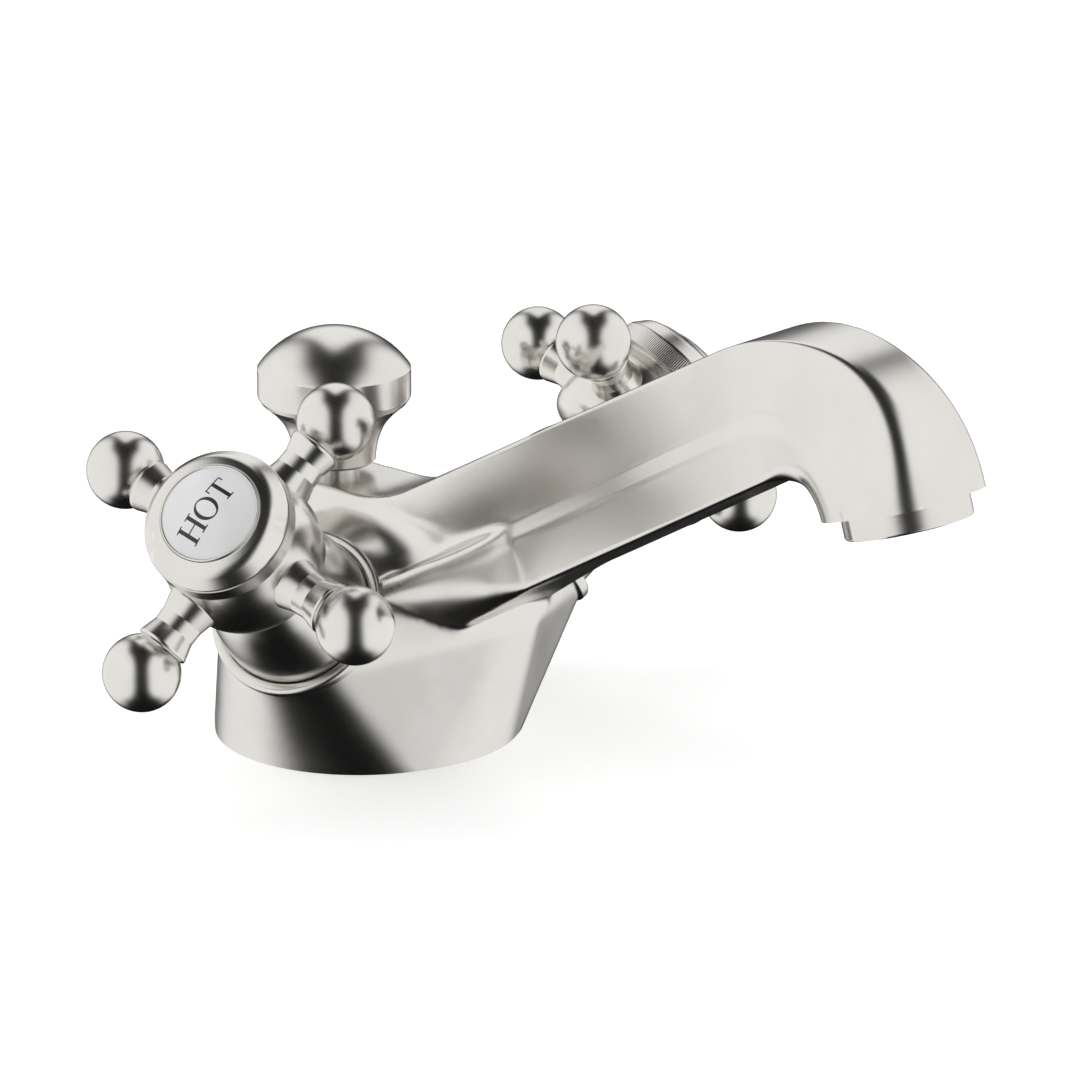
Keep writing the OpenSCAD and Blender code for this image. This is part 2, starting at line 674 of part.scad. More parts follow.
module hub(side) {
    profile = [[0, hub_foot], [9.5, hub_foot], [12.1, hub_foot + 0.9], [13.4, hub_foot + 2.6],
        [hub_r - 0.1, hub_foot + 5], [hub_r, hub_foot + 8.2], [hub_r - 0.3, hub_foot + 11.4],
        [hub_r - 1.4, hub_foot + 14.4], [hub_r - 3.2, hub_top - 0.5], [hub_r - 3.4, hub_top],
        [0, hub_top]];
    color(nickel) at_port(side) difference() {
        rotate_extrude() polygon(profile);
        translate([0, 0, hub_foot - over]) linear_extrude(height = spline_top + 0.1 - hub_foot + over)
            polygon(spline_outline(spline_r + fit_gap, spline_r - 0.45 + fit_gap));
        cylinder(r = screw_r + 0.2, h = hub_top);
        translate([0, 0, web_top]) cylinder(r = screw_head_r + 0.6, h = hub_top);
        translate([0, 0, hub_top - spigot_h - 0.2]) cylinder(r = spigot_r + fit_gap, h = 10);
        for (i = [0:3]) at_arm(i) {
            translate([0, 0, arm_thread_in - 0.3]) cylinder(r = arm_thread_r + fit_gap, h = hub_r);
            translate([0, 0, arm_seat]) cylinder(r = arm_foot_r + fit_gap, h = hub_r);
        }
    }
}

// Puts a child on the axis of arm i, with z = 0 on the handle's axis
module at_arm(i) {
    translate([0, 0, arm_plane]) rotate([0, 0, arm_turn + 90 * i]) rotate([0, 90, 0]) children();
}

module arm(side, i) {
    collar_in = ball_reach - ball_r + 0.8;
    lip_h = 0.4;
    profile = [[0, arm_thread_in], [arm_thread_r, arm_thread_in], [arm_thread_r, arm_seat],
        [arm_foot_r, arm_seat], [arm_foot_r, arm_seat + 1.5],
        [arm_waist_r + 0.07, mix(arm_seat, collar_in, 0.457)], [arm_waist_r, mix(arm_seat, collar_in, 0.7)],
        [arm_foot_r, collar_in], [arm_foot_r, collar_in + lip_h],
        [arm_foot_r - 0.5, collar_in + 2 * lip_h], [arm_foot_r - 0.5, collar_in + 3], [0, ball_reach]];
    color(nickel) at_port(side) at_arm(i - 1) {
        rotate_extrude() polygon(profile);
        translate([0, 0, ball_reach]) sphere(r = ball_r);
    }
}

module screw(side) {
    color(steel) at_port(side) translate([0, 0, web_top]) difference() {
        union() {
            translate([0, 0, -screw_length]) cylinder(r = screw_r, h = screw_length);
            cylinder(r1 = screw_head_r, r2 = screw_head_r - 0.5, h = screw_head_h);
        }
        translate([0, 0, screw_head_h - 1.6]) cylinder(r = 1.45, h = 2, $fn = 6);
    }
}

// Cap: spigot, band, dome and the seat of the index disc
module cap(side) {
    dome = [for (i = [0:5]) let (a = 90 * i / 5)
        [cap_rim_r + (cap_r - 0.1 - cap_rim_r) * cos(a), cap_band_top + (cap_top - cap_band_top) * sin(a)]];
    color(nickel) at_port(side) rotate_extrude() polygon(concat(
        [[0, disc_seat - 1.6], [spigot_r - 1.6, disc_seat - 1.6], [spigot_r - 1.6, hub_top - spigot_h],
            [spigot_r, hub_top - spigot_h], [spigot_r, hub_top], [cap_r - 0.3, hub_top],
            [cap_r, hub_top + 0.3], [cap_r, cap_band_top - 0.2]],
        dome, [[disc_r + fit_gap, cap_top], [disc_r + fit_gap, disc_seat], [0, disc_seat]]));
}

module index_disc(side) {
    rise = disc_crown;
    crown_r = (disc_r * disc_r + rise * rise) / (2 * rise);
    crown_a = asin(disc_r / crown_r);
    color(white) at_port(side) rotate_extrude() polygon(concat(
        [[0, disc_seat], [disc_r, disc_seat]],
        [for (i = [0:6]) let (a = crown_a * (1 - i / 6))
            [crown_r * sin(a), cap_top + rise - crown_r + crown_r * cos(a)]]));
}

body_casting();
deck_seal();
aerator_housing();
aerator_insert();
aerator_gasket();
rod_guide_bush();
lift_rod();
lift_knob();
shroud("hot");  // hot_shroud
headwork("hot");  // hot_headwork
port_gasket("hot");  // hot_port_gasket
seat_seal("hot");  // hot_seat_seal
fixed_disc("hot");  // hot_fixed_disc
moving_disc("hot");  // hot_moving_disc
spindle("hot");  // hot_spindle
spindle_oring("hot");  // hot_spindle_oring
spindle_clip("hot");  // hot_spindle_clip
hub("hot");  // hot_hub
arm("hot", 1);  // hot_arm_1
arm("hot", 2);  // hot_arm_2
arm("hot", 3);  // hot_arm_3
arm("hot", 4);  // hot_arm_4
screw("hot");  // hot_screw
cap("hot");  // hot_cap
index_disc("hot");  // hot_index_disc
shroud("cold");  // cold_shroud
headwork("cold");  // cold_headwork
port_gasket("cold");  // cold_port_gasket
seat_seal("cold");  // cold_seat_seal
fixed_disc("cold");  // cold_fixed_disc
moving_disc("cold");  // cold_moving_disc
spindle("cold");  // cold_spindle
spindle_oring("cold");  // cold_spindle_oring
spindle_clip("cold");  // cold_spindle_clip
hub("cold");  // cold_hub
arm("cold", 1);  // cold_arm_1
arm("cold", 2);  // cold_arm_2
arm("cold", 3);  // cold_arm_3
arm("cold", 4);  // cold_arm_4
screw("cold");  // cold_screw
cap("cold");  // cold_cap
index_disc("cold");  // cold_index_disc
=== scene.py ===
"""Looks of a deck-mounted basin mixer tap: satin nickel casting, cross handles and pop-up knob."""

import json
import math

import bmesh
import bpy
from mathutils import Matrix, Vector
from mathutils.bvhtree import BVHTree
from mathutils.interpolate import poly_3d_calc


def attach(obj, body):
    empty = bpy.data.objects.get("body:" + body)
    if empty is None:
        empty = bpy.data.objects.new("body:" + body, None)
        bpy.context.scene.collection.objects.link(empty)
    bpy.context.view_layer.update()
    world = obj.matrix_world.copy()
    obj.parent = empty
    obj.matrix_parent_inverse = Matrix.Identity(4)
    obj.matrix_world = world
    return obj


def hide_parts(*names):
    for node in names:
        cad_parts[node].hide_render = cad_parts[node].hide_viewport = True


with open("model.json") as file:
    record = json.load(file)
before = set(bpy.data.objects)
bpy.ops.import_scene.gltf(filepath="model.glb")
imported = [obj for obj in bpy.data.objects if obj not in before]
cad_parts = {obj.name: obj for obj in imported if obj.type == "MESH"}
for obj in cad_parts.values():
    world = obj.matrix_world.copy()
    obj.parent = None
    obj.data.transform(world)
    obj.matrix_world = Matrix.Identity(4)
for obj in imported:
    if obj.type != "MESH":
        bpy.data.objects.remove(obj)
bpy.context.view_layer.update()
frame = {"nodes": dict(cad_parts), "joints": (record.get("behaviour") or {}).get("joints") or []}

MM = 0.001
NODES = frame["nodes"]
JOINTS = {joint["name"]: joint for joint in frame["joints"]}
# Each side with the sign of its X
SIDES = {"hot": -1, "cold": 1}

# Driving sizes in millimetres, as the construction has them
FOOT_R = 27.7
FOOT_EDGE = 2.0
TOP_Z = 46.6
TOP_HALF_W = 8.6
TOP_BACK = 17.0
VALVE_ROOT = Vector((0.0, -0.9, 5.5))
PORT_REACH = 41.3
BOSS_R = 15.2
BEAD_R = 1.0
RECESS_R = 13.85
RECESS_DEPTH = 2.0
PORT_BORE_R = 9.32
PORT_DEPTH = 16.0
SPOUT_REACH = 124.4
OUTLET_Z = 67.7
SPOUT_SLOPE = math.radians(28.7)
OUTLET_TILT = math.radians(16.8)
SPOUT_DEPTH = 23.8
ROOT_DEPTH = 25.2
BEND_INNER_R = 7.7
ROOT_BLEND_R = 27.0
SPOUT_TOP_HALF_W = 9.0
SPOUT_LOW_HALF_W = 10.9
OUTLET_HALF_W = 12.3
OUTLET_CORNER_R = 7.5
BAND_H = 10.2
OUTLET_BORE_R = 9.6
OUTLET_BORE_DEPTH = 11.0
COLLAR_R = 11.1
COLLAR_H = 4.0
UNDERSIDE_R = 17.5
UNDERSIDE_RECESS = 4.0
INLET_X = 9.5
INLET_Y = -5.0
INLET_R = 4.55
INLET_DEPTH = 9.0
STUD_Y = -13.2
STUD_R = 3.4
STUD_DEPTH = 13.0
SEAL_H = 2.2
ROD_Y = 7.4
BUSH_H = 1.8
KNOB_R = 13.9
KNOB_H = 25.6
KNOB_FOOT_R = 7.4
ARM_PLANE = 30.0
BALL_REACH = 27.5
BALL_R = 6.85
ARM_TURN = 24.7
HUB_R = 14.0
HUB_FOOT = 20.4
HUB_H = 17.7
HUB_GAP = 0.6
CAP_R = 13.2
CAP_BAND_H = 3.5
CAP_DOME_H = 3.5
DISC_R = 8.9
DISC_CROWN = 2.1

# Sizes that the finished skin has of its own, in millimetres, and the number of ribs round a cap
BEND_BULGE = 1.2
BEND_WAIST = 2.2
BAND_STEP = 1.0
FLAT_REACH = 10.45
ROD_HOLE_R = 3.65
RIBS = 216
RIB_DEPTH = 0.04
SKIN_VOXEL = 0.55
WELD = 0.0005

# Facets round a turned piece, and the angles in degrees past which edges are shaded sharp
TURN_STEPS = 128
SHARP = 40
CAST_SHARP = 38
FLAT_SHARP = 14


# Outlines

def arc(centre, radius, start, end, steps):
    """Points on a circle round centre from one angle to another, in degrees."""
    angles = [math.radians(start + (end - start) * i / steps) for i in range(steps + 1)]
    return [(centre[0] + radius * math.cos(a), centre[1] + radius * math.sin(a)) for a in angles]


def curve_through(points, steps=6):
    """A smooth line through the points."""
    ends = [points[0]] + list(points) + [points[-1]]
    line = []
    for a, b, c, d in zip(ends, ends[1:], ends[2:], ends[3:]):
        for i in range(steps):
            t = i / steps
            weights = (-t + 2 * t * t - t ** 3, 2 - 5 * t * t + 3 * t ** 3,
                       t + 4 * t * t - 3 * t ** 3, t ** 3 - t * t)
            line.append(tuple(0.5 * sum(w * p[k] for w, p in zip(weights, (a, b, c, d))) for k in (0, 1)))
    return line + [tuple(points[-1])]


def filleted(corners, steps=4):
    """A line through (radius, height, fillet) corners, with each corner rounded by its fillet."""
    line = []
    for i, (r, z, fillet) in enumerate(corners):
        if fillet == 0 or i in (0, len(corners) - 1):
            line.append((r, z))
            continue
        here, before, after = Vector((r, z)), Vector(corners[i - 1][:2]), Vector(corners[i + 1][:2])
        into, away = (before - here).normalized(), (after - here).normalized()
        half = into.angle(away) / 2
        cut = min(fillet / math.tan(half), 0.48 * (before - here).length, 0.48 * (after - here).length)
        radius = cut * math.tan(half)
        middle = here + (into + away).normalized() * (radius / math.sin(half))
        first, last = here + into * cut - middle, here + away * cut - middle
        for k in range(steps + 1):
            spoke = first.lerp(last, k / steps).normalized() * radius
            line.append(tuple(middle + spoke))
    return line


def dome_radius(half_w, rise):
    """Radius of a dome that rises so far over its half width."""
    return (half_w ** 2 + rise ** 2) / (2 * rise)


def crown(half_w, rise, top, steps):
    """The upper part of a dome's outline, for a dome that rises to top over its half width."""
    radius = dome_radius(half_w, rise)
    reach = math.degrees(math.asin(half_w / radius))
    return arc((0, top - radius), radius, 90 - reach * 0.955, 90, steps)


# Meshes

def in_scene(name, data):
    """A new object in the scene."""
    made = bpy.data.objects.new(name, data)
    bpy.context.scene.collection.objects.link(made)
    return made


def mesh_of(bm, name):
    """Turns a bmesh into a mesh and frees it."""
    mesh = bpy.data.meshes.new(name)
    bm.to_mesh(mesh)
    bm.free()
    return mesh


def finish_mesh(bm, name, place, sharp=None):
    """Makes an object of a bmesh drawn in millimetres, placed in the frame in metres."""
    bmesh.ops.remove_doubles(bm, verts=bm.verts, dist=WELD)
    bmesh.ops.transform(bm, matrix=Matrix.Scale(MM, 4) @ place, verts=bm.verts)
    bmesh.ops.recalc_face_normals(bm, faces=bm.faces)
    mesh = mesh_of(bm, name)
    mesh.shade_smooth()
    if sharp is not None:
        mesh.set_sharp_from_angle(angle=math.radians(sharp))
    return in_scene(name, mesh)


def even_shading(piece):
    """Lets large faces set the shading, so that narrow fillets stay crisp."""
    weighted = piece.modifiers.new("even shading", "WEIGHTED_NORMAL")
    weighted.keep_sharp = True
    return piece


def turned(outline, steps=TURN_STEPS, closed=False):
    """Spins an outline of (radius, height) points round the Z axis."""
    bm = bmesh.new()
    points = [bm.verts.new((r, 0, z)) for r, z in outline]
    lines = [bm.edges.new(pair) for pair in zip(points, points[1:])]
    if closed:
        lines.append(bm.edges.new((points[-1], points[0])))
    bmesh.ops.spin(bm, geom=points + lines, cent=(0, 0, 0), axis=(0, 0, 1), angle=2 * math.pi,
                   steps=steps, use_merge=True)
    bmesh.ops.remove_doubles(bm, verts=bm.verts, dist=WELD)
    return bm


def turned_skin(outline, name, place, steps=TURN_STEPS, closed=False):
    """A finished turned piece with crisp fillets."""
    return even_shading(finish_mesh(turned(outline, steps, closed), name, place, SHARP))


def wear(piece, body, material, slot, *stands_for):
    """Gives a finished piece its body and material, and hides the nodes it stands for. The slot is not used.
    """
    piece.data.materials.clear()
    piece.data.materials.append(material)
    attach(piece, body)
    if stands_for:
        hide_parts(*stands_for)


# Places

def valve_place(side, height=0.0):
    """Frame on a valve's axis, +Z outward, with its origin at a height above the port's face, in mm."""
    axis = Vector(JOINTS[side + "_turn"]["axis"])
    out = axis if axis.z > 0 else -axis
    level = Vector((out.x, out.y, 0)).normalized()
    down = (level * out.z - Vector((0, 0, 1)) * out.dot(level)).normalized()
    across = out.cross(down)
    place = Matrix((down, across, out)).transposed().to_4x4()
    place.translation = VALVE_ROOT + out * (PORT_REACH + height)
    return place


def arm_place(side, number):
    """Frame on an arm's axis, +Z towards its ball, with its origin on the handle's axis."""
    turn = (ARM_TURN + 90 * (number - 1)) * SIDES[side]
    return (valve_place(side, ARM_PLANE) @ Matrix.Rotation(math.radians(turn), 4, "Z")
            @ Matrix.Rotation(math.radians(90), 4, "Y"))


def outlet_place():
    """Frame at the middle of the outlet face, +Z along the water."""
    return Matrix.Translation((0, -SPOUT_REACH, OUTLET_Z)) @ Matrix.Rotation(math.pi - OUTLET_TILT, 4, "X")


def rod_place(height):
    return Matrix.Translation((0, ROD_Y, height))


# Shared shader effects

def new_group(name, output, position=True, **values):
    """A shader group that gives one value, from a position and from plain values."""
    group = bpy.data.node_groups.new(name, "ShaderNodeTree")
    if position:
        group.interface.new_socket("Position", in_out="INPUT", socket_type="NodeSocketVector")
    for label, value in values.items():
        socket = group.interface.new_socket(label, in_out="INPUT", socket_type="NodeSocketFloat")
        socket.default_value = value
    group.interface.new_socket(output, in_out="OUTPUT", socket_type="NodeSocketFloat")
    return group, group.nodes.new("NodeGroupInput"), group.nodes.new("NodeGroupOutput")


def node(tree, kind, sockets=None, **values):
    """A node with its properties, and with its inputs by number or name."""
    made = tree.nodes.new(kind)
    for name, value in values.items():
        setattr(made, name, value)
    for socket, value in (sockets or {}).items():
        made.inputs[socket].default_value = value
    return made


def wire(tree, *rows):
    """Links sockets. A row has a node with its output, then a node with its input."""
    for giver, output, taker, socket in rows:
        tree.links.new(giver.outputs[output], taker.inputs[socket])


def grain_noise(group, given, place, result):
    """Ends a grain group with fine noise, read at the place that the group has worked out."""
    scale = node(group, "ShaderNodeMath", {1: 1000.0}, operation="MULTIPLY")
    noise = node(group, "ShaderNodeTexNoise", {"Detail": 3.0, "Roughness": 0.6})
    wire(group, (given, "Fineness", scale, 0), (scale, 0, noise, "Scale"), (place, 0, noise, "Vector"),
         (noise, "Fac", result, "Grain"))
    return group


def brushed_grain_group():
    """Fine grain drawn out along X: a value round 0.5."""
    group, given, result = new_group("brushed grain", "Grain", Fineness=9.0, Draw=30.0)
    split = node(group, "ShaderNodeSeparateXYZ")
    drawn = node(group, "ShaderNodeMath", operation="DIVIDE")
    join = node(group, "ShaderNodeCombineXYZ")
    wire(group, (given, "Position", split, 0), (split, 0, drawn, 0), (given, "Draw", drawn, 1),
         (drawn, 0, join, 0), (split, 1, join, 1), (split, 2, join, 2))
    return grain_noise(group, given, join, result)


def turned_grain_group():
    """Fine grain that runs round the Z axis, as a lathe and a polishing wheel leave it."""
    group, given, result = new_group("turned grain", "Grain", Fineness=9.0)
    split = node(group, "ShaderNodeSeparateXYZ")
    flat = node(group, "ShaderNodeCombineXYZ")
    reach = node(group, "ShaderNodeVectorMath", operation="LENGTH")
    unit = node(group, "ShaderNodeVectorMath", operation="NORMALIZE")
    spread = node(group, "ShaderNodeVectorMath", {"Scale": 0.0006}, operation="SCALE")
    around = node(group, "ShaderNodeSeparateXYZ")
    sum_up = node(group, "ShaderNodeMath", operation="ADD")
    join = node(group, "ShaderNodeCombineXYZ")
    wire(group, (given, "Position", split, 0), (split, 0, flat, 0), (split, 1, flat, 1), (flat, 0, reach, 0),
         (flat, 0, unit, 0), (unit, 0, spread, 0), (spread, 0, around, 0), (reach, "Value", sum_up, 0),
         (split, 2, sum_up, 1), (around, 0, join, 0), (around, 1, join, 1), (sum_up, 0, join, 2))
    return grain_noise(group, given, join, result)


def handling_group():
    """Broad, soft differences left by plating and handling: a value from 0 to 1."""
    group, given, result = new_group("handling marks", "Marks", Size=12.0)
    invert = node(group, "ShaderNodeMath", {0: 1000.0}, operation="DIVIDE")
    noise = node(group, "ShaderNodeTexNoise", {"Detail": 4.0, "Roughness": 0.55})
    ramp = node(group, "ShaderNodeMapRange", {1: 0.35, 2: 0.65}, interpolation_type="SMOOTHSTEP")
    wire(group, (given, "Size", invert, 1), (invert, 0, noise, "Scale"), (given, "Position", noise, "Vector"),
         (noise, "Fac", ramp, 0), (ramp, 0, result, "Marks"))
    return group


def edge_wear_group():
    """Bare, brighter metal on the sharpest edges: a mask from 0 to 1."""
    group, given, result = new_group("edge wear", "Mask", position=False, Amount=0.5)
    shape = node(group, "ShaderNodeNewGeometry")
    ramp = node(group, "ShaderNodeMapRange", {1: 0.53, 2: 0.62}, interpolation_type="SMOOTHSTEP")
    amount = node(group, "ShaderNodeMath", operation="MULTIPLY")
    wire(group, (shape, "Pointiness", ramp, 0), (ramp, 0, amount, 0), (given, "Amount", amount, 1),
         (amount, 0, result, "Mask"))
    return group


GROUPS = {"brushed": brushed_grain_group(), "turned": turned_grain_group(),
          "handling": handling_group(), "edges": edge_wear_group()}


def use_group(tree, name, **values):
    made = tree.nodes.new("ShaderNodeGroup")
    made.node_tree = GROUPS[name]
    for label, value in values.items():
        made.inputs[label].default_value = value
    return made


# Materials

# Each metal's colour, and its deeper tone under handling marks
NICKEL = ((0.78, 0.762, 0.728), (0.755, 0.735, 0.70))
BRASS = ((0.72, 0.60, 0.33), (0.66, 0.54, 0.28))
STEEL = ((0.62, 0.63, 0.64), (0.55, 0.56, 0.57))
SATIN = 0.245
GRAIN_FINENESS = 9.0
GRAIN_BUMP = 0.012
MARKS_SIZE = 14.0
EDGE_WEAR = 0.6


def new_material(name):
    material = bpy.data.materials.new(name)
    material.use_nodes = True
    tree = material.node_tree
    return material, tree, tree.nodes["Principled BSDF"]


def mottle(tree, coordinates, size, tones):
    """Handling marks of a size in millimetres, and a colour that goes deeper with them."""
    tint, deep_tint = tones
    marks = use_group(tree, "handling", Size=size)
    colour = node(tree, "ShaderNodeMix", {"A": (*tint, 1), "B": (*deep_tint, 1)}, data_type="RGBA")
    wire(tree, (coordinates, "Object", marks, "Position"), (marks, "Marks", colour, "Factor"))
    return marks, colour


def relieve(tree, shader, source, output, strength, distance):
    """Shades the surface by a fine height, with its distance in metres."""
    relief = node(tree, "ShaderNodeBump", {"Strength": strength, "Distance": distance})
    wire(tree, (source, output, relief, "Height"), (relief, "Normal", shader, "Normal"))


def plated_metal(name, tones, roughness, place=None):
    """Satin plated metal. The grain runs round place's Z axis, or along the spout where place is None."""
    material, tree, shader = new_material(name)
    shader.inputs["Metallic"].default_value = 1.0
    coordinates = node(tree, "ShaderNodeTexCoord")
    mapping = node(tree, "ShaderNodeMapping", vector_type="TEXTURE")
    if place is None:
        mapping.inputs["Rotation"].default_value = (0, SPOUT_SLOPE, math.radians(-90))
    else:
        mapping.inputs["Location"].default_value = place.translation * MM
        mapping.inputs["Rotation"].default_value = place.to_euler()
    grain = use_group(tree, "brushed" if place is None else "turned", Fineness=GRAIN_FINENESS)
    marks, colour = mottle(tree, coordinates, MARKS_SIZE, tones)
    edges = use_group(tree, "edges", Amount=EDGE_WEAR)
    bright = node(tree, "ShaderNodeMix", {"B": (*(min(1, c * 1.1) for c in tones[0]), 1)}, data_type="RGBA")
    grain_share = node(tree, "ShaderNodeMapRange", {1: 0.3, 2: 0.7, 3: -0.01, 4: 0.01})
    marks_share = node(tree, "ShaderNodeMapRange", {3: roughness - 0.015, 4: roughness + 0.02})
    rough = node(tree, "ShaderNodeMath", operation="ADD", use_clamp=True)
    wire(tree, (coordinates, "Object", mapping, "Vector"), (mapping, "Vector", grain, "Position"),
         (colour, "Result", bright, "A"), (edges, "Mask", bright, "Factor"),
         (bright, "Result", shader, "Base Color"), (grain, "Grain", grain_share, 0),
         (marks, "Marks", marks_share, 0), (grain_share, 0, rough, 0), (marks_share, 0, rough, 1),
         (rough, 0, shader, "Roughness"))
    relieve(tree, shader, grain, "Grain", GRAIN_BUMP, 0.00005)
    return material


def moulded(name, tones, roughness, size=3.0, bump=0.1, coat=0.0):
    """Rubber, plastic, enamel or ceramic: a faint mottle and a fine surface."""
    material, tree, shader = new_material(name)
    shader.inputs["Coat Weight"].default_value = coat
    shader.inputs["Coat Roughness"].default_value = 0.06
    coordinates = node(tree, "ShaderNodeTexCoord")
    marks, colour = mottle(tree, coordinates, size, tones)
    fine = use_group(tree, "handling", Size=0.25)
    rough = node(tree, "ShaderNodeMapRange", {3: roughness - 0.03, 4: roughness + 0.04})
    wire(tree, (coordinates, "Object", fine, "Position"), (colour, "Result", shader, "Base Color"),
         (marks, "Marks", rough, 0), (rough, 0, shader, "Roughness"))
    relieve(tree, shader, fine, "Marks", bump, 0.00003)
    return material


def make_materials():
    made = {
        "rubber": moulded("black_rubber", ((0.035, 0.035, 0.037), (0.05, 0.05, 0.052)), 0.62),
        "ceramic": moulded("lapped_ceramic", ((0.93, 0.91, 0.86), (0.9, 0.88, 0.82)), 0.2),
        "enamel": moulded("white_enamel", ((0.80, 0.80, 0.81), (0.78, 0.78, 0.79)), 0.22, size=6.0,
                          bump=0.02, coat=0.6),
        "ink": moulded("black_enamel_ink", ((0.02, 0.02, 0.022), (0.03, 0.03, 0.032)), 0.35, size=1.0),
        "plastic": moulded("pale_plastic", ((0.83, 0.83, 0.84), (0.8, 0.8, 0.81)), 0.45),
    }
    places = {"casting": None, "knob": rod_place(0), "outlet": outlet_place()}
    places.update({side: valve_place(side) for side in SIDES})
    for name, place in places.items():
        made[name] = plated_metal("satin_nickel_" + name, NICKEL, SATIN, place)
    for side in SIDES:
        place = places[side]
        made[side + "_brass"] = plated_metal("bare_brass_" + side, BRASS, 0.3, place)
        made[side + "_steel"] = plated_metal("stainless_steel_" + side, STEEL, 0.32, place)
    return made


MATERIALS = make_materials()


def dress_inner_nodes():
    """Gives the construction's own pieces inside the valves and under the foot their materials."""
    finishes = {"deck_seal": "rubber", "aerator_gasket": "rubber", "aerator_insert": "plastic",
                "rod_guide_bush": "knob", "lift_rod": "knob"}
    for side in SIDES:
        for finish, pieces in ((side + "_brass", ("headwork", "spindle")),
                               (side + "_steel", ("screw", "spindle_clip")),
                               ("rubber", ("port_gasket", "seat_seal", "spindle_oring")),
                               ("ceramic", ("fixed_disc", "moving_disc"))):
            finishes.update({f"{side}_{piece}": finish for piece in pieces})
    for name, finish in finishes.items():
        mesh = NODES[name].data
        mesh.materials.clear()
        mesh.materials.append(MATERIALS[finish])


# Casting

def ease(t):
    return t * t * (3 - 2 * t)


def fade(value, low, high):
    """0 up to low and 1 from high on, eased between them."""
    return ease(max(0.0, min(1.0, (value - low) / (high - low))))


def square_to(angle):
    """Upward direction, as (y, z), square to a path that climbs at an angle."""
    return Vector((math.sin(angle), math.cos(angle)))


# The spout's bend and straight run as (y, z), worked out from its outlet back to the flat top
OUTLET_DEPTH = 2 * (OUTLET_HALF_W - 0.5)
BEND_MIDDLE_R = BEND_INNER_R + OUTLET_DEPTH / 2
BEND_OUTER_R = BEND_INNER_R + SPOUT_DEPTH
BEND = Vector((-SPOUT_REACH + BEND_MIDDLE_R * math.cos(OUTLET_TILT),
               OUTLET_Z - BEND_MIDDLE_R * math.sin(OUTLET_TILT)))
ROOT_Y = BEND.x + (BEND_OUTER_R + (BEND.y - TOP_Z) * math.cos(SPOUT_SLOPE)) / math.sin(SPOUT_SLOPE)
BLEND_RUN = ROOT_BLEND_R * math.tan(SPOUT_SLOPE / 2)
RUN_START = Vector((ROOT_Y - BLEND_RUN * math.cos(SPOUT_SLOPE), TOP_Z + BLEND_RUN * math.sin(SPOUT_SLOPE)))
RUN_FINISH = BEND + BEND_OUTER_R * square_to(SPOUT_SLOPE)


def on_run(share):
    """Middle of the spout's top, and the spout's depth there, at a share of its straight run."""
    return RUN_START.lerp(RUN_FINISH, share), ROOT_DEPTH + (SPOUT_DEPTH - ROOT_DEPTH) * share


def spout_line():
    """Stations along the spout: (top point, path angle, depth, share of the bend, share of the blend)."""
    stations = [(Vector((ROOT_Y + BLEND_RUN + back, TOP_Z)), 0.0, ROOT_DEPTH, 0.0, 0.0) for back in (9, 6, 3)]
    for i in range(12):
        angle = SPOUT_SLOPE * i / 12
        top = Vector((ROOT_Y + BLEND_RUN - ROOT_BLEND_R * math.sin(angle),
                      TOP_Z + ROOT_BLEND_R * (1 - math.cos(angle))))
        stations.append((top, angle, ROOT_DEPTH, 0.0, i / 12))
    for i in range(12):
        top, depth = on_run(i / 12)
        stations.append((top, SPOUT_SLOPE, depth, 0.0, 1.0))
    end_angle = OUTLET_TILT - math.pi / 2
    for i in range(65):
        t = i / 64
        angle = SPOUT_SLOPE + (end_angle - SPOUT_SLOPE) * t
        out = (BEND_OUTER_R * (1 - t) + (BEND_INNER_R + OUTLET_DEPTH) * t
               + BEND_BULGE * math.sin(math.pi * t ** 1.4) ** 2)
        stations.append((BEND + out * square_to(angle), angle, out - BEND_INNER_R, t, 1.0))
    end = stations[-1][0]
    for past in (1.5, 3.0):
        stations.append((end - square_to(OUTLET_TILT) * past, end_angle, OUTLET_DEPTH, 1.0, 1.0))
    return stations


def spout_section(depth, top_w, top_r, step_w, low_w, low_r, band, reach):
    """Right half of a section of the spout, from the middle of its top to the middle of its underside."""
    side_x = top_w + (step_w - top_w) * 0.05
    half = [(0, depth), (top_w - top_r - 0.6, depth)]
    half += arc((top_w - top_r, depth - top_r), top_r, 90, 0, 8)
    half += [(side_x, depth - top_r - 0.6), (step_w - 0.03, band + 2.6 * reach)]
    half += curve_through([(step_w, band + 2.0 * reach), (step_w + 0.04, band + 1.5 * reach),
                           (step_w * 0.45 + low_w * 0.55, band - 0.1 * reach),
                           (low_w - 0.1, band - 1.1 * reach), (low_w, band - 2.0 * reach)], steps=4)
    half += [(low_w, band - 2.5 * reach), (low_w, low_r + 0.4)]
    half += arc((low_w - low_r, low_r), low_r, 0, -90, 12)
    return half + [(low_w - low_r - 0.6, 0), (0, 0)]


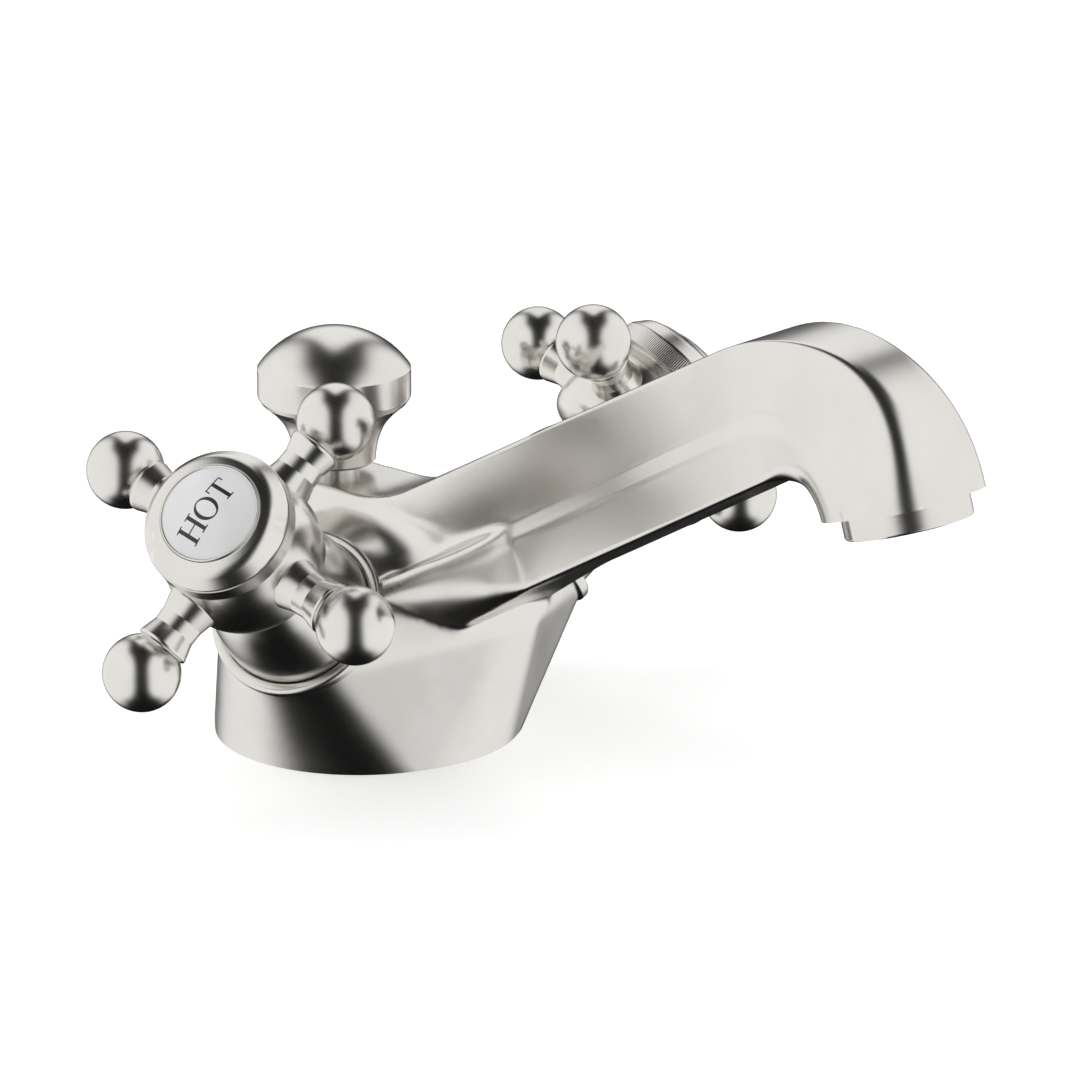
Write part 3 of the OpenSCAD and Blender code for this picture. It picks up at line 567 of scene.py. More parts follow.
def spout_ring(station):
    """The whole section at a station, in the frame."""
    top, angle, depth, bend_share, blend_share = station
    k = ease(bend_share)
    top_w = TOP_HALF_W + (SPOUT_TOP_HALF_W - TOP_HALF_W) * blend_share
    top_w += (OUTLET_HALF_W - top_w) * k ** 2 - BEND_WAIST * math.sin(math.pi * bend_share) ** 2
    low_w = SPOUT_LOW_HALF_W + (OUTLET_HALF_W - SPOUT_LOW_HALF_W) * k
    band = BAND_H + (OUTLET_CORNER_R + 1 - BAND_H) * k
    reach = 1 - 0.6 * k
    low_r = min(0.8 + (OUTLET_CORNER_R - 1.8) * ease(min(1, bend_share * 1.6)), band - 2.5 * reach - 0.5)
    half = spout_section(depth, top_w, 0.6 + (OUTLET_CORNER_R - 0.6) * k * k,
                         low_w - BAND_STEP * (1 - k) - 0.02, low_w, low_r, band, reach)
    up = square_to(angle)
    ring = [(x, top + up * (v - depth)) for x, v in half]
    ring += [(-x, p) for x, p in reversed(ring[1:-1])]
    return [Vector((x, p.x, p.y)) for x, p in ring]


def lofted(rings):
    """A closed skin over a row of rings with the same number of points."""
    bm = bmesh.new()
    loops = []
    for ring in rings:
        verts = [bm.verts.new(p) for p in ring]
        loops.append([bm.edges.new((a, b)) for a, b in zip(verts, verts[1:] + verts[:1])])
    for first, second in zip(loops, loops[1:]):
        bmesh.ops.bridge_loops(bm, edges=first + second)
    for loop in (loops[0], loops[-1]):
        bmesh.ops.contextual_create(bm, geom=loop)
    bmesh.ops.recalc_face_normals(bm, faces=bm.faces)
    return bm


def disc_points(place, radius, steps=64):
    return [place @ Vector((radius * math.cos(a), radius * math.sin(a), 0))
            for a in (2 * math.pi * i / steps for i in range(steps))]


def wrapped(points):
    """The tight skin over a cloud of points."""
    bm = bmesh.new()
    for p in points:
        bm.verts.new(p)
    bmesh.ops.convex_hull(bm, input=bm.verts)
    loose = [v for v in bm.verts if not v.link_faces]
    bmesh.ops.delete(bm, geom=loose, context="VERTS")
    return bm


def joined(parts):
    """One bmesh of several."""
    whole = bmesh.new()
    for part in parts:
        mesh = mesh_of(part, "part")
        whole.from_mesh(mesh)
        bpy.data.meshes.remove(mesh)
    return whole


def rim_point(side, angle, height=-BEAD_R - 0.3, radius=BOSS_R - 0.3):
    """A point on a boss's edge, at an angle in degrees forward from its top."""
    a = math.radians(angle)
    return valve_place(side, height) @ Vector((-radius * math.cos(a), -SIDES[side] * radius * math.sin(a), 0))


def shoulders():
    """Foot, both bosses and the throat under the spout, then the flat top with its back."""
    foot = []
    for z in (-FOOT_EDGE, FOOT_EDGE):
        foot += disc_points(Matrix.Translation((0, 0, z)), FOOT_R, 96)
    points = list(foot)
    for side in SIDES:
        points += disc_points(valve_place(side, -BEAD_R - 0.3), BOSS_R - 0.3)
    throat = (Matrix.Translation((0, ROOT_Y - ROOT_BLEND_R * 0.6, TOP_Z - ROOT_DEPTH * 0.8))
              @ Matrix.Rotation(-SPOUT_SLOPE, 4, "X"))
    for level in (-4, 4):
        points += disc_points(throat @ Matrix.Translation((0, 0, level)), SPOUT_LOW_HALF_W - 0.7, 48)
    points += disc_points(Matrix.Translation((0, TOP_BACK - 11, TOP_Z - 9.6)), 12.4, 48)
    top = list(foot)
    for x in (-TOP_HALF_W, TOP_HALF_W):
        for z in (TOP_Z - 2, TOP_Z):
            top += [Vector((x, ROOT_Y + 2, z)), Vector((x, ROOT_Y + 3, z))]
    for x in (-1, 1):
        for z in (TOP_Z - 2, TOP_Z):
            top += disc_points(Matrix.Translation((x * (TOP_HALF_W - 5), TOP_BACK - 5, z)), 5, 48)
    return [wrapped(points), wrapped(top)]


def spout_edge(share, width, height):
    """A point on the spout's straight run, from its width and its height above the underside."""
    top, depth = on_run(share)
    place = top - square_to(SPOUT_SLOPE) * (depth - height)
    return Vector((width, place.x, place.y))


def bent(start, bend, finish, share):
    """A point on the curve that leaves start towards bend and comes to finish from it."""
    return start * (1 - share) ** 2 + bend * 2 * share * (1 - share) + finish * share ** 2


# Where a saddle meets the flat top and the spout: width, along and height from the spout's root, the
# angle of the rim point that it comes from, and its hollow's share along, share up and distance aside
SADDLE_LINE = ((9.85, -26.7, 0.1, 63, -0.04, 0.18, 0.1), (9.7, -22.0, -0.4, 57, 0.08, 0.15, 0.1),
               (9.3, -14.5, 0.3, 44, 0.35, 0.12, 0.1), (8.75, -4.4, 0.5, 28, 0.55, 0.12, 0.1),
               (8.5, 4, -0.2, 10, 0.55, 0.12, 0.1), (8.4, 11.6, -0.4, -15, 0.55, 0.12, 0.1),
               (8.2, 18.6, -0.9, -45, 0.55, 0.12, 0.1), (8.6, 23.6, -3.2, -72, 0.55, 0.12, 0.1),
               (9.5, 25.4, -6.6, -90, 0.55, 0.12, 0.1))


def saddle(side):
    """Hollow blend from a boss up to the flat top and the side of the spout."""
    sign = SIDES[side]
    core = Vector((0, ROOT_Y, TOP_Z - 16))
    rings = []
    last = len(SADDLE_LINE) - 1
    for number in range(last * 4 + 1):
        place, share = divmod(number, 4)
        near, far = SADDLE_LINE[place], SADDLE_LINE[min(place + 1, last)]
        width, along, height, angle, pull, lift, aside = (n + (f - n) * share / 4 for n, f in zip(near, far))
        inner = Vector((width * sign, ROOT_Y + along, TOP_Z + height))
        rim = rim_point(side, angle)
        bend = Vector((inner.x + aside * sign, rim.y + (inner.y - rim.y) * pull,
                       rim.z + (inner.z - rim.z) * lift))
        curve = [bent(rim, bend, inner, i / 12) for i in range(13)]
        rings.append([bend.lerp(core, 0.35)] + curve + [inner - Vector((3 * sign, 0, 1.5))])
    return lofted(rings)


# Fullest points of a lobe, from a side: width, along and height in the frame
LOBE_BELLY = ((19.2, -28.2, 33.0), (16.2, -31.6, 31.0), (11.7, -34.2, 28.5))


def lobes():
    """The lobes that carry the spout's lower band back to the front of each port."""
    points = []
    for side, sign in SIDES.items():
        for angle in (60, 65, 71):
            points += [rim_point(side, angle, radius=BOSS_R - inset) for inset in (0.4, 2.0)]
        points += [Vector((sign * x, y, z)) for x, y, z in LOBE_BELLY]
        for share, inset in ((0.1, 0.0), (0.2, 0.05), (0.28, 0.25)):
            width = SPOUT_LOW_HALF_W - inset
            points += [spout_edge(share, sign * width, 0.0), spout_edge(share, sign * width, BAND_H * 0.82),
                       spout_edge(share, sign * (width - BAND_STEP), BAND_H * 1.14)]
    return wrapped(points)


def casting():
    """The casting's skin, drawn as one, and the exact form of its spout."""
    bosses = []
    for side in SIDES:
        boss = turned([(0, -8), (BOSS_R, -8), (BOSS_R, -BEAD_R), (0, -BEAD_R)], 96)
        bmesh.ops.transform(boss, matrix=valve_place(side), verts=boss.verts)
        bosses.append(boss)
    saddles = [saddle(side) for side in SIDES]
    spout = lofted([spout_ring(station) for station in spout_line()])
    blank = joined([spout.copy()] + shoulders() + saddles + [lobes()] + bosses)
    aligned = Matrix.Rotation(SPOUT_SLOPE, 4, "X")
    bmesh.ops.transform(blank, matrix=aligned, verts=blank.verts)
    piece = in_scene("body_casting_skin", mesh_of(blank, "casting_blank"))
    remesh = piece.modifiers.new("one skin", "REMESH")
    remesh.mode = "VOXEL"
    remesh.voxel_size = SKIN_VOXEL
    remesh.adaptivity = 0
    bake_modifiers(piece)
    return piece, spout


def bake_modifiers(piece):
    """Leaves the evaluated mesh as the piece's own."""
    graph = bpy.context.evaluated_depsgraph_get()
    graph.update()
    done = bpy.data.meshes.new_from_object(piece.evaluated_get(graph))
    old = piece.data
    piece.modifiers.clear()
    piece.data = done
    bpy.data.meshes.remove(old)


def weight_by(piece, name, rule):
    """A vertex group from a rule on the vertex's place, in mm."""
    group = piece.vertex_groups.new(name=name)
    for vertex in piece.data.vertices:
        weight = rule(vertex.co)
        if weight > 0:
            group.add([vertex.index], weight, "REPLACE")


def smooth_casting(piece):
    """Turns the skin back into the frame and evens it, most round the spout's root.

    The fades run between places in the frame, in millimetres."""
    back = Matrix.Rotation(-SPOUT_SLOPE, 4, "X")
    piece.data.transform(back)

    def soft(co):
        """All round the spout's root, between the foot and the flat top."""
        near_root = fade(co.y, -52, -38)
        under_top = 1 - fade(co.z, TOP_Z - 2.2, TOP_Z - 0.4)
        above_foot = fade(co.z, 1.2, 4)
        return near_root * under_top * above_foot

    def lobe_end(co):
        """Where a lobe runs out on the spout's side."""
        along = fade(co.y, -46, -38) * (1 - fade(co.y, -33, -28))
        aside = fade(abs(co.x), 8.3, 9.3) * (1 - fade(abs(co.x), 14, 18))
        return along * aside * fade(co.z, 31, 36) * (1 - fade(co.z, 51, 55))

    weight_by(piece, "soft", soft)
    weight_by(piece, "lobe_end", lobe_end)
    for label, passes, group in (("even", 3, ""), ("blend", 28, "soft"), ("ease out", 60, "lobe_end")):
        modifier = piece.modifiers.new(label, "SMOOTH")
        modifier.factor = 0.5
        modifier.iterations = passes
        modifier.vertex_group = group
    bake_modifiers(piece)
    piece.vertex_groups.clear()


def out_on_spout(co):
    """1 where the spout stands clear of the shoulders, down to 0 at its root."""
    return 1 - fade(co.y, -56, -42)


def on_form(form, tree, place):
    """The nearest place on a form, the form's smooth normal there and how far off it is."""
    spot, _, index, gap = tree.find_nearest(place)
    corners = form.faces[index].verts
    normal = Vector()
    for share, corner in zip(poly_3d_calc([c.co for c in corners], spot), corners):
        normal += corner.normal * share
    return spot, normal.normalized(), gap


def settle_on(piece, form, tree):
    """Draws the skin onto the spout's exact form."""
    for vertex in piece.data.vertices:
        share = out_on_spout(vertex.co)
        if share > 0:
            vertex.co = vertex.co.lerp(on_form(form, tree, vertex.co)[0], share)


def shade_by(piece, form, tree, near=0.06, alike=0.8):
    """Shades what lies near the spout's form, in millimetres, and faces much as it does by that form."""
    mesh = piece.data
    found = {}
    shading = [Vector()] * len(mesh.loops)
    for face in mesh.polygons:
        for corner in face.loop_indices:
            number = mesh.loops[corner].vertex_index
            place = mesh.vertices[number].co
            share = out_on_spout(place)
            if share == 0:
                continue
            if number not in found:
                found[number] = on_form(form, tree, place)[1:]
            normal, gap = found[number]
            if gap < near and normal.dot(face.normal) > alike:
                shading[corner] = mesh.corner_normals[corner].vector.lerp(normal, share).normalized()
    mesh.normals_split_custom_set(shading)


def cutters():
    """What is bored and turned out of the casting."""
    parts = []

    def take(tool, place):
        bmesh.ops.transform(tool, matrix=place, verts=tool.verts)
        parts.append(tool)

    def bore(place, radius, low, high, steps=64):
        take(turned([(0, low), (radius, low), (radius, high), (0, high)], steps), place)

    whole = Matrix.Identity(4)
    for side in SIDES:
        take(turned([(0, -PORT_DEPTH), (PORT_BORE_R, -PORT_DEPTH), (PORT_BORE_R, -RECESS_DEPTH),
                     (RECESS_R, -RECESS_DEPTH), (RECESS_R, 6), (0, 6)]), valve_place(side))
    for place, size, height in ((outlet_place(), 30, 8), (Matrix.Rotation(math.pi, 4, "X"), 70, 8)):
        end = bmesh.new()
        bmesh.ops.create_cube(end, size=1)
        bmesh.ops.scale(end, vec=(size, size, height), verts=end.verts)
        take(end, place @ Matrix.Translation((0, 0, height / 2)))
    bore(outlet_place(), OUTLET_BORE_R, -OUTLET_BORE_DEPTH, 3, TURN_STEPS)
    bore(whole, UNDERSIDE_R, -2, UNDERSIDE_RECESS, TURN_STEPS)
    inner, outer = UNDERSIDE_R + 2, FOOT_R - 2.2
    take(turned([(inner, -2), (outer, -2), (outer, SEAL_H), (inner, SEAL_H)], closed=True), whole)
    under = UNDERSIDE_RECESS - 0.5
    for x in (-INLET_X, INLET_X):
        bore(Matrix.Translation((x, INLET_Y, 0)), INLET_R, under, UNDERSIDE_RECESS + INLET_DEPTH)
    bore(Matrix.Translation((0, STUD_Y, 0)), STUD_R, under, UNDERSIDE_RECESS + STUD_DEPTH)
    bore(rod_place(0), ROD_HOLE_R, under, TOP_Z + 2)
    return parts


def cut(piece, tools):
    """Takes each tool's shape out of the piece."""
    for tool in tools:
        bmesh.ops.recalc_face_normals(tool, faces=tool.faces)
        mesh = mesh_of(tool, "tool")
        cutter = in_scene("tool", mesh)
        modifier = piece.modifiers.new("cut", "BOOLEAN")
        modifier.operation = "DIFFERENCE"
        modifier.solver = "MANIFOLD"
        modifier.object = cutter
        bake_modifiers(piece)
        bpy.data.objects.remove(cutter)
        bpy.data.meshes.remove(mesh)


def build_casting():
    piece, spout = casting()
    spout.normal_update()
    spout.faces.ensure_lookup_table()
    tree = BVHTree.FromBMesh(spout)
    smooth_casting(piece)
    settle_on(piece, spout, tree)
    cut(piece, cutters())
    piece.data.shade_smooth()
    piece.data.set_sharp_from_angle(angle=math.radians(CAST_SHARP))
    shade_by(piece, spout, tree)
    spout.free()
    piece.data.transform(Matrix.Scale(MM, 4))
    wear(piece, "tap_body", MATERIALS["casting"], "satin_nickel", "body_casting")
    edge, lip = BOSS_R + 0.6, BOSS_R - 1
    for side in SIDES:
        rim = turned(filleted([(RECESS_R, -RECESS_DEPTH, 0), (RECESS_R, 0.5, 0.5), (edge, 0.5, 0.9),
                               (edge, -1.7, 0.9), (BOSS_R - 0.6, -2.6, 0.2), (lip, -RECESS_DEPTH - 1, 0)], 8),
                     closed=True)
        piece = even_shading(finish_mesh(rim, side + "_port_rim", valve_place(side)))
        wear(piece, "tap_body", MATERIALS[side], "satin_nickel")


# Turned pieces

def build_knob():
    """The waste knob: a flared neck, a plain band and a dome."""
    band_foot, dome_foot, top = 12.3, 17.5, KNOB_H - 0.7
    foot_r = KNOB_FOOT_R
    neck = curve_through([(foot_r, 0.4), (foot_r + 0.1, 1.6), (foot_r + 0.5, 3.8), (foot_r + 1.1, 5.6),
                          (foot_r + 2.0, 7.4), (foot_r + 3.5, 9.2), (foot_r + 4.75, 10.35)])
    lower = filleted([(foot_r + 4.75, 10.35, 0), (KNOB_R - 0.75, 11.15, 0.6), (KNOB_R, band_foot, 1.2),
                      (KNOB_R, dome_foot, 0.3), (KNOB_R * 0.97, dome_foot + 0.75, 0)])
    outline = [(0, 0), (foot_r - 0.4, 0)] + neck + lower[1:-1] + crown(KNOB_R, top - dome_foot, top, 24)
    piece = turned_skin(outline, "lift_knob_skin", rod_place(TOP_Z + BUSH_H + 0.1))
    wear(piece, "lift", MATERIALS["knob"], "satin_nickel", "lift_knob")


def arm_outline():
    """A turned arm from its seat in the hub, along its waist and collar to its ball."""
    collar = BALL_REACH - BALL_R + 0.75
    neck = filleted([(4.75, 11.6, 0), (4.75, 13.0, 0.15), (4.0, 16.1, 0.1), (3.93, 18.5, 0.1),
                     (4.75, collar, 0.12), (4.75, collar + 0.45, 0.15), (4.2, collar + 0.75, 0.05),
                     (4.2, collar + 1.2, 0)], 3)
    turn_in = math.degrees(math.asin(4.2 / BALL_R))
    ball = arc((0, BALL_REACH), BALL_R, -90 + turn_in, 90, 40)
    return [(0, 11.6)] + neck[:-1] + ball


def build_handle(side):
    """Hub, four arms and cap."""
    body, finish = side + "_handle", MATERIALS[side]
    foot, top = HUB_FOOT, HUB_FOOT + HUB_H
    barrel = curve_through([(9.5, foot), (12.1, foot + 0.9), (13.4, foot + 2.6), (HUB_R - 0.1, foot + 5),
                            (HUB_R, foot + 8.2), (HUB_R - 0.3, foot + 11.4), (HUB_R - 1.4, foot + 14.4),
                            (HUB_R - 3.2, top - 0.5), (HUB_R - 3.4, top)])
    outline = ([(4.6, top - 8), (4.6, foot), (8.6, foot)] + barrel
               + [(8.5, top), (8.5, top - 3.4), (4.6, top - 8)])
    hub = turned_skin(outline, side + "_hub_skin", valve_place(side))
    wear(hub, body, finish, "satin_nickel", side + "_hub")

    for number in range(1, 5):
        name = f"{side}_arm_{number}"
        arm = turned_skin(arm_outline(), name + "_skin", arm_place(side, number), 96)
        wear(arm, body, finish, "satin_nickel", name)
    build_cap(side, top)


def build_cap(side, foot):
    """A handle's cap with its ribbed band, and the index disc in a fine rim."""
    body, finish = side + "_handle", MATERIALS[side]
    band_r, band_top = CAP_R - 0.15, foot + CAP_BAND_H
    cap_top = foot + CAP_BAND_H + CAP_DOME_H
    dome = filleted([(band_r, band_top - 0.2, 0), (band_r, band_top, 0), (CAP_R - 0.2, band_top + 0.35, 0.3),
                     (DISC_R + 2.2, cap_top - 0.65, 5.5), (DISC_R + 0.45, cap_top, 0)], 12)
    outline = ([(DISC_R + 0.05, cap_top - 1.5), (8.45, foot - 3), (8.45, foot), (CAP_R - 1.2, foot),
                (CAP_R - 1.2, band_top - 0.2), (band_r, band_top - 0.2)] + dome
               + [(DISC_R + 0.15, cap_top), (DISC_R + 0.05, cap_top - 0.15)])
    cap = turned_skin(outline, side + "_cap_skin", valve_place(side), closed=True)
    wear(cap, body, finish, "satin_nickel", side + "_cap")
    build_ribs(side, foot + 0.15, band_top - 0.15)

    face = crown(DISC_R, DISC_CROWN, cap_top + DISC_CROWN, 16)
    edge = DISC_R - 0.35
    disc = turned([(0, cap_top - 1.4), (edge, cap_top - 1.4), (edge, face[0][1] - 0.15)] + face)
    disc = finish_mesh(disc, side + "_index_disc_skin", valve_place(side), SHARP)
    wear(disc, body, MATERIALS["enamel"], "white_enamel", side + "_index_disc")
    rim = turned([(DISC_R - 0.4, cap_top - 1.2)] + arc((DISC_R - 0.19, cap_top + 0.1), 0.24, 180, 0, 8)
                 + [(DISC_R + 0.05, cap_top - 1.2)], closed=True)
    rim = finish_mesh(rim, side + "_index_rim", valve_place(side), SHARP)
    wear(rim, body, finish, "satin_nickel")


def build_ribs(side, low, high):
    """The finely ribbed band of a cap."""
    bm = bmesh.new()
    ring = bmesh.ops.create_circle(bm, segments=RIBS * 6, radius=CAP_R, cap_ends=False)["verts"]
    for vertex in ring:
        around = math.atan2(vertex.co.y, vertex.co.x) * RIBS
        vertex.co *= 1 - RIB_DEPTH * (0.5 - 0.5 * math.cos(around)) / CAP_R
        vertex.co.z = low
    foot = list(bm.edges)
    lifted = bmesh.ops.extrude_edge_only(bm, edges=foot)["geom"]
    raised = [g for g in lifted if isinstance(g, bmesh.types.BMVert)]
    bmesh.ops.translate(bm, vec=(0, 0, high - low), verts=raised)
    head = [g for g in lifted if isinstance(g, bmesh.types.BMEdge)]
    for edges in (foot, head):
        inner = bmesh.ops.extrude_edge_only(bm, edges=edges)["geom"]
        for vertex in (g for g in inner if isinstance(g, bmesh.types.BMVert)):
            vertex.co.xy = vertex.co.xy.normalized() * (CAP_R - 1.0)
    bmesh.ops.bridge_loops(bm, edges=[e for e in bm.edges if e.is_boundary])
    band = finish_mesh(bm, side + "_cap_ribs", valve_place(side), SHARP)
    wear(band, side + "_handle", MATERIALS[side], "satin_nickel")


def build_shroud(side):
    """The bell round a valve, with its lip in the port's recess."""
    lip, top = RECESS_R - 0.15, HUB_FOOT - HUB_GAP
    outer = [(lip, -RECESS_DEPTH), (lip, 1.5)]
    outer += curve_through([(lip, 3), (13.1, 8.5), (11.9, 14), (10.4, 17.8), (9.3, top)])
    inner = [(7.45, top), (7.45, 14.5), (9.0, 13.5), (11.6, 11), (12.8, 5), (12.8, -RECESS_DEPTH)]
    piece = turned_skin(outer + inner, side + "_shroud_skin", valve_place(side), closed=True)
    wear(piece, "tap_body", MATERIALS[side], "satin_nickel", side + "_shroud")


def build_aerator():
    """Collar with four spanner flats, and its barrel up inside the outlet."""
    seat_r, barrel_foot = OUTLET_BORE_R - 0.05, -9.4
    bm = turned(filleted([(8.25, barrel_foot, 0), (seat_r, barrel_foot, 0.3), (seat_r, 0, 0),
                          (COLLAR_R, 0, 0), (COLLAR_R, COLLAR_H, 0.5), (7.35, COLLAR_H, 0.3),
                          (7.35, COLLAR_H - 1.2, 0), (8.2, COLLAR_H - 1.2, 0)], 8), 144, closed=True)
    for vertex in bm.verts:
        vertex.co.x = max(-FLAT_REACH, min(FLAT_REACH, vertex.co.x))
        vertex.co.y = max(-FLAT_REACH, min(FLAT_REACH, vertex.co.y))
    collar = finish_mesh(bm, "aerator_housing_skin", outlet_place(), FLAT_SHARP)
    wear(collar, "tap_body", MATERIALS["outlet"], "satin_nickel", "aerator_housing")


# Lettering of the index discs, plain function words in a roman hand

LETTER_H = 4.4
STEM = 0.7
HAIR = 0.24
LETTER_GAP = 0.15
WORD_W = 12.6
INK_H = 0.012
LEGEND_TURN = math.radians(157.3)


def stroke(bm, x0, y0, x1, y1):
    """A straight stroke between two corners."""
    corners = [bm.verts.new(p + (0,)) for p in ((x0, y0), (x1, y0), (x1, y1), (x0, y1))]
    bm.faces.new(corners)


def stem(bm, x):
    """An upright with a hairline foot and head."""
    stroke(bm, x - STEM / 2, 0, x + STEM / 2, LETTER_H)
    for y in (0, LETTER_H - HAIR):
        stroke(bm, x - STEM * 1.15, y, x + STEM * 1.15, y + HAIR)


def bowl(bm, x, y, half_w, half_h, start, end, steps=28):
    """Part of a round stroke, thick at its sides and thin at its top and foot, in degrees."""
    outer, inner = [], []
    for i in range(steps + 1):
        a = math.radians(start + (end - start) * i / steps)
        outer.append(bm.verts.new((x + half_w * math.cos(a), y + half_h * math.sin(a), 0)))
        inner.append(bm.verts.new((x + (half_w - STEM) * math.cos(a), y + (half_h - HAIR) * math.sin(a), 0)))
    for i in range(steps):
        bm.faces.new((outer[i], outer[i + 1], inner[i + 1], inner[i]))


def letter(bm, sign):
    """Draws one letter from x = 0, and gives its width."""
    h = LETTER_H
    if sign == "H":
        stem(bm, 0.75)
        stem(bm, 3.35)
        stroke(bm, 0.75, h / 2 - HAIR / 2, 3.35, h / 2 + HAIR / 2)
        return 4.1
    if sign == "O":
        bowl(bm, 2.1, h / 2, 2.1, h / 2 + 0.1, 0, 360)
        return 4.2
    if sign == "T":
        stem(bm, 1.9)
        stroke(bm, 0.15, h - HAIR, 3.65, h)
        for x in (0.15, 3.65 - HAIR):
            stroke(bm, x, h - 1.0, x + HAIR, h)
        return 3.8
    if sign == "C":
        bowl(bm, 2.1, h / 2, 2.1, h / 2 + 0.1, 42, 318)
        stroke(bm, 3.55, h - 1.35, 3.75, h - 0.1)
        return 3.9
    if sign == "L":
        stem(bm, 0.75)
        stroke(bm, 0.75, 0, 3.1, HAIR)
        stroke(bm, 3.1 - HAIR, 0, 3.1, 1.05)
        return 3.2
    stem(bm, 0.75)
    bowl(bm, 1.0, h / 2, 2.9, h / 2, -90, 90)
    stroke(bm, 0.4, 0, 1.05, HAIR)
    stroke(bm, 0.4, h - HAIR, 1.05, h)
    return 4.1


def build_legend(side):
    """The word on a disc, let into its crown."""
    letters = []
    x = 0.0
    for sign in side.upper():
        fresh = bmesh.new()
        width = letter(fresh, sign)
        bmesh.ops.translate(fresh, vec=(x, 0, 0), verts=fresh.verts)
        letters.append(fresh)
        x += width + LETTER_GAP
    bm = joined(letters)
    total = x - LETTER_GAP
    size = min(1.0, WORD_W / total)
    bmesh.ops.translate(bm, vec=(-total / 2, -LETTER_H / 2, 0), verts=bm.verts)
    bmesh.ops.scale(bm, vec=(size, size, 1), verts=bm.verts)
    long_edges = [e for e in bm.edges if e.calc_length() > 0.5]
    bmesh.ops.subdivide_edges(bm, edges=long_edges, cuts=6, use_grid_fill=True)
    bmesh.ops.rotate(bm, cent=(0, 0, 0), matrix=Matrix.Rotation(LEGEND_TURN, 3, "Z"), verts=bm.verts)
    crown_r = dome_radius(DISC_R, DISC_CROWN)
    crown_z = HUB_FOOT + HUB_H + CAP_BAND_H + CAP_DOME_H + DISC_CROWN - crown_r
    for vertex in bm.verts:
        vertex.co.z = crown_z + math.sqrt(crown_r ** 2 - vertex.co.xy.length_squared) + INK_H
    lettering = finish_mesh(bm, side + "_legend", valve_place(side))
    wear(lettering, side + "_handle", MATERIALS["ink"], "white_enamel")


# Studio

CAMERA_PLACE = Vector((-0.8334, -0.7889, 0.4005))
VIEW_BACK = Vector((-0.7097, -0.6357, 0.3037)).normalized()
SENSOR_MM = 36
LENS_MM = 221.98
BOX_CORNER = 3.2


def build_camera():
    camera = in_scene("camera", bpy.data.cameras.new("camera"))
    camera.data.sensor_width = SENSOR_MM
    camera.data.lens = LENS_MM
    camera.location = CAMERA_PLACE
    camera.rotation_mode = "QUATERNION"
    camera.rotation_quaternion = (-VIEW_BACK).to_track_quat("-Z", "Y")
    camera.data.clip_start, camera.data.clip_end = 0.05, 60
    bpy.context.scene.camera = camera


def background_seen(tree):
    """Light path, and 1 for rays from the camera and for those that metal and glass send out, else 0."""
    path = node(tree, "ShaderNodeLightPath")
    seen = node(tree, "ShaderNodeMath", operation="ADD", use_clamp=True)
    also = node(tree, "ShaderNodeMath", operation="ADD", use_clamp=True)
    wire(tree, (path, "Is Camera Ray", seen, 0), (path, "Is Glossy Ray", seen, 1), (seen, 0, also, 0),
         (path, "Is Transmission Ray", also, 1))
    return path, also.outputs[0]


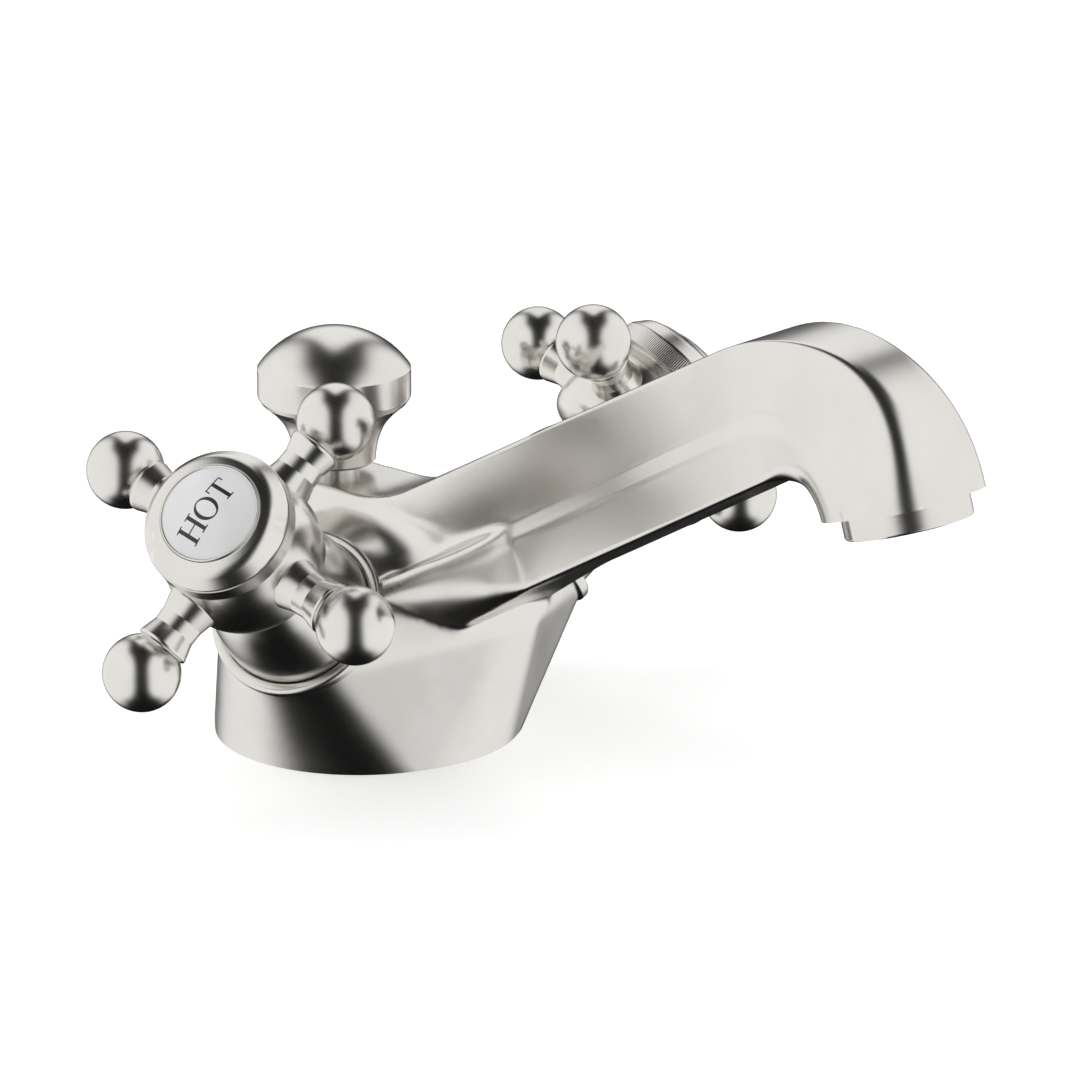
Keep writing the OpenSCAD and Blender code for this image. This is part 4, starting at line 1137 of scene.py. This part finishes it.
def build_world():
    """White surroundings. Metal sees two large soft boxes at its sides and a third one behind."""
    world = bpy.data.worlds.new("studio")
    bpy.context.scene.world = world
    world.use_nodes = True
    tree = world.node_tree
    links = tree.links
    background = tree.nodes["Background"]
    path, seen = background_seen(tree)
    coordinates = node(tree, "ShaderNodeTexCoord")
    level = Vector((VIEW_BACK.x, VIEW_BACK.y, 0)).normalized()
    aside = Vector((-level.y, level.x, 0))
    parts = {}
    for label, direction in (("front", level), ("side", aside), ("up", Vector((0, 0, 1)))):
        dot = node(tree, "ShaderNodeVectorMath", {1: direction}, operation="DOT_PRODUCT")
        links.new(coordinates.outputs["Generated"], dot.inputs[0])
        parts[label] = dot.outputs["Value"]

    def combine(operation, *values):
        made = node(tree, "ShaderNodeMath", operation=operation)
        for socket, value in zip(made.inputs, values):
            if isinstance(value, (int, float)):
                socket.default_value = value
            else:
                links.new(value, socket)
        return made.outputs[0]

    def soft_box(azimuth, height, reach_across, reach_up, soft):
        """1 inside a box with round corners, fading out at its rim. Its middle and reaches are in degrees."""
        across = combine("DIVIDE", combine("SUBTRACT", around, azimuth), reach_across)
        up = combine("DIVIDE", combine("SUBTRACT", over, height), reach_up)
        out = combine("ADD", combine("POWER", combine("ABSOLUTE", across), BOX_CORNER),
                      combine("POWER", combine("ABSOLUTE", up), BOX_CORNER))
        rim = node(tree, "ShaderNodeMapRange", {1: 1 + soft, 2: 1 - soft}, interpolation_type="SMOOTHSTEP")
        links.new(combine("POWER", out, 1 / BOX_CORNER), rim.inputs[0])
        return rim.outputs[0]

    around = combine("DEGREES", combine("ARCTAN2", parts["side"], parts["front"]))
    over = combine("DEGREES", combine("ARCSINE", parts["up"]))
    boxes = combine("MAXIMUM", soft_box(-87.0, 0.0, 68.5, 60.0, 0.14), soft_box(89.5, 0.0, 66.5, 57.0, 0.14))
    behind = combine("MAXIMUM", *(soft_box(azimuth, 42.0, 20.0, 32.0, 0.25) for azimuth in (-180.0, 180.0)))
    lit = combine("MAXIMUM", boxes, behind)
    dark = combine("MULTIPLY", combine("SUBTRACT", 1.0, lit), path.outputs["Is Glossy Ray"])
    shade = node(tree, "ShaderNodeMix", {"A": (1, 1, 1, 1), "B": (0.008, 0.008, 0.008, 1)}, data_type="RGBA")
    light = node(tree, "ShaderNodeMix", {"A": (0.6, 0.6, 0.6, 1)}, data_type="RGBA")
    links.new(dark, shade.inputs["Factor"])
    links.new(seen, light.inputs["Factor"])
    wire(tree, (shade, "Result", light, "B"), (light, "Result", background, "Color"))


def build_floor():
    bm = bmesh.new()
    bmesh.ops.create_circle(bm, cap_ends=True, segments=96, radius=30)
    floor = in_scene("floor", mesh_of(bm, "floor"))
    material, tree, shader = new_material("pale_floor")
    shader.inputs["Base Color"].default_value = (0.86, 0.86, 0.86, 1)
    shader.inputs["Roughness"].default_value = 0.9
    shader.inputs["Specular IOR Level"].default_value = 0.0
    shader.inputs["Emission Color"].default_value = (1, 1, 1, 1)
    seen = background_seen(tree)[1]
    glow = node(tree, "ShaderNodeMath", {1: 0.42}, operation="MULTIPLY")
    tree.links.new(seen, glow.inputs[0])
    wire(tree, (glow, 0, shader, "Emission Strength"))
    floor.data.materials.append(material)
    floor.visible_glossy = False


def build_lamps():
    for name, place, size, power in (("left_softbox", (-0.9, 0.5, 1.1), 0.9, 6.5),
                                     ("right_softbox", (0.9, -0.6, 1.2), 0.9, 5.0)):
        light = bpy.data.lights.new(name, "AREA")
        light.energy = power
        light.size = size
        lamp = in_scene(name, light)
        lamp.location = place
        lamp.rotation_mode = "QUATERNION"
        lamp.rotation_quaternion = Vector(place).to_track_quat("Z", "Y")
        lamp.visible_glossy = False


bpy.context.scene.view_settings.view_transform = "Standard"
build_camera()
build_world()
build_floor()
build_lamps()
dress_inner_nodes()
build_casting()
build_knob()
build_aerator()
for valve in SIDES:
    build_shroud(valve)
    build_handle(valve)
    build_legend(valve)
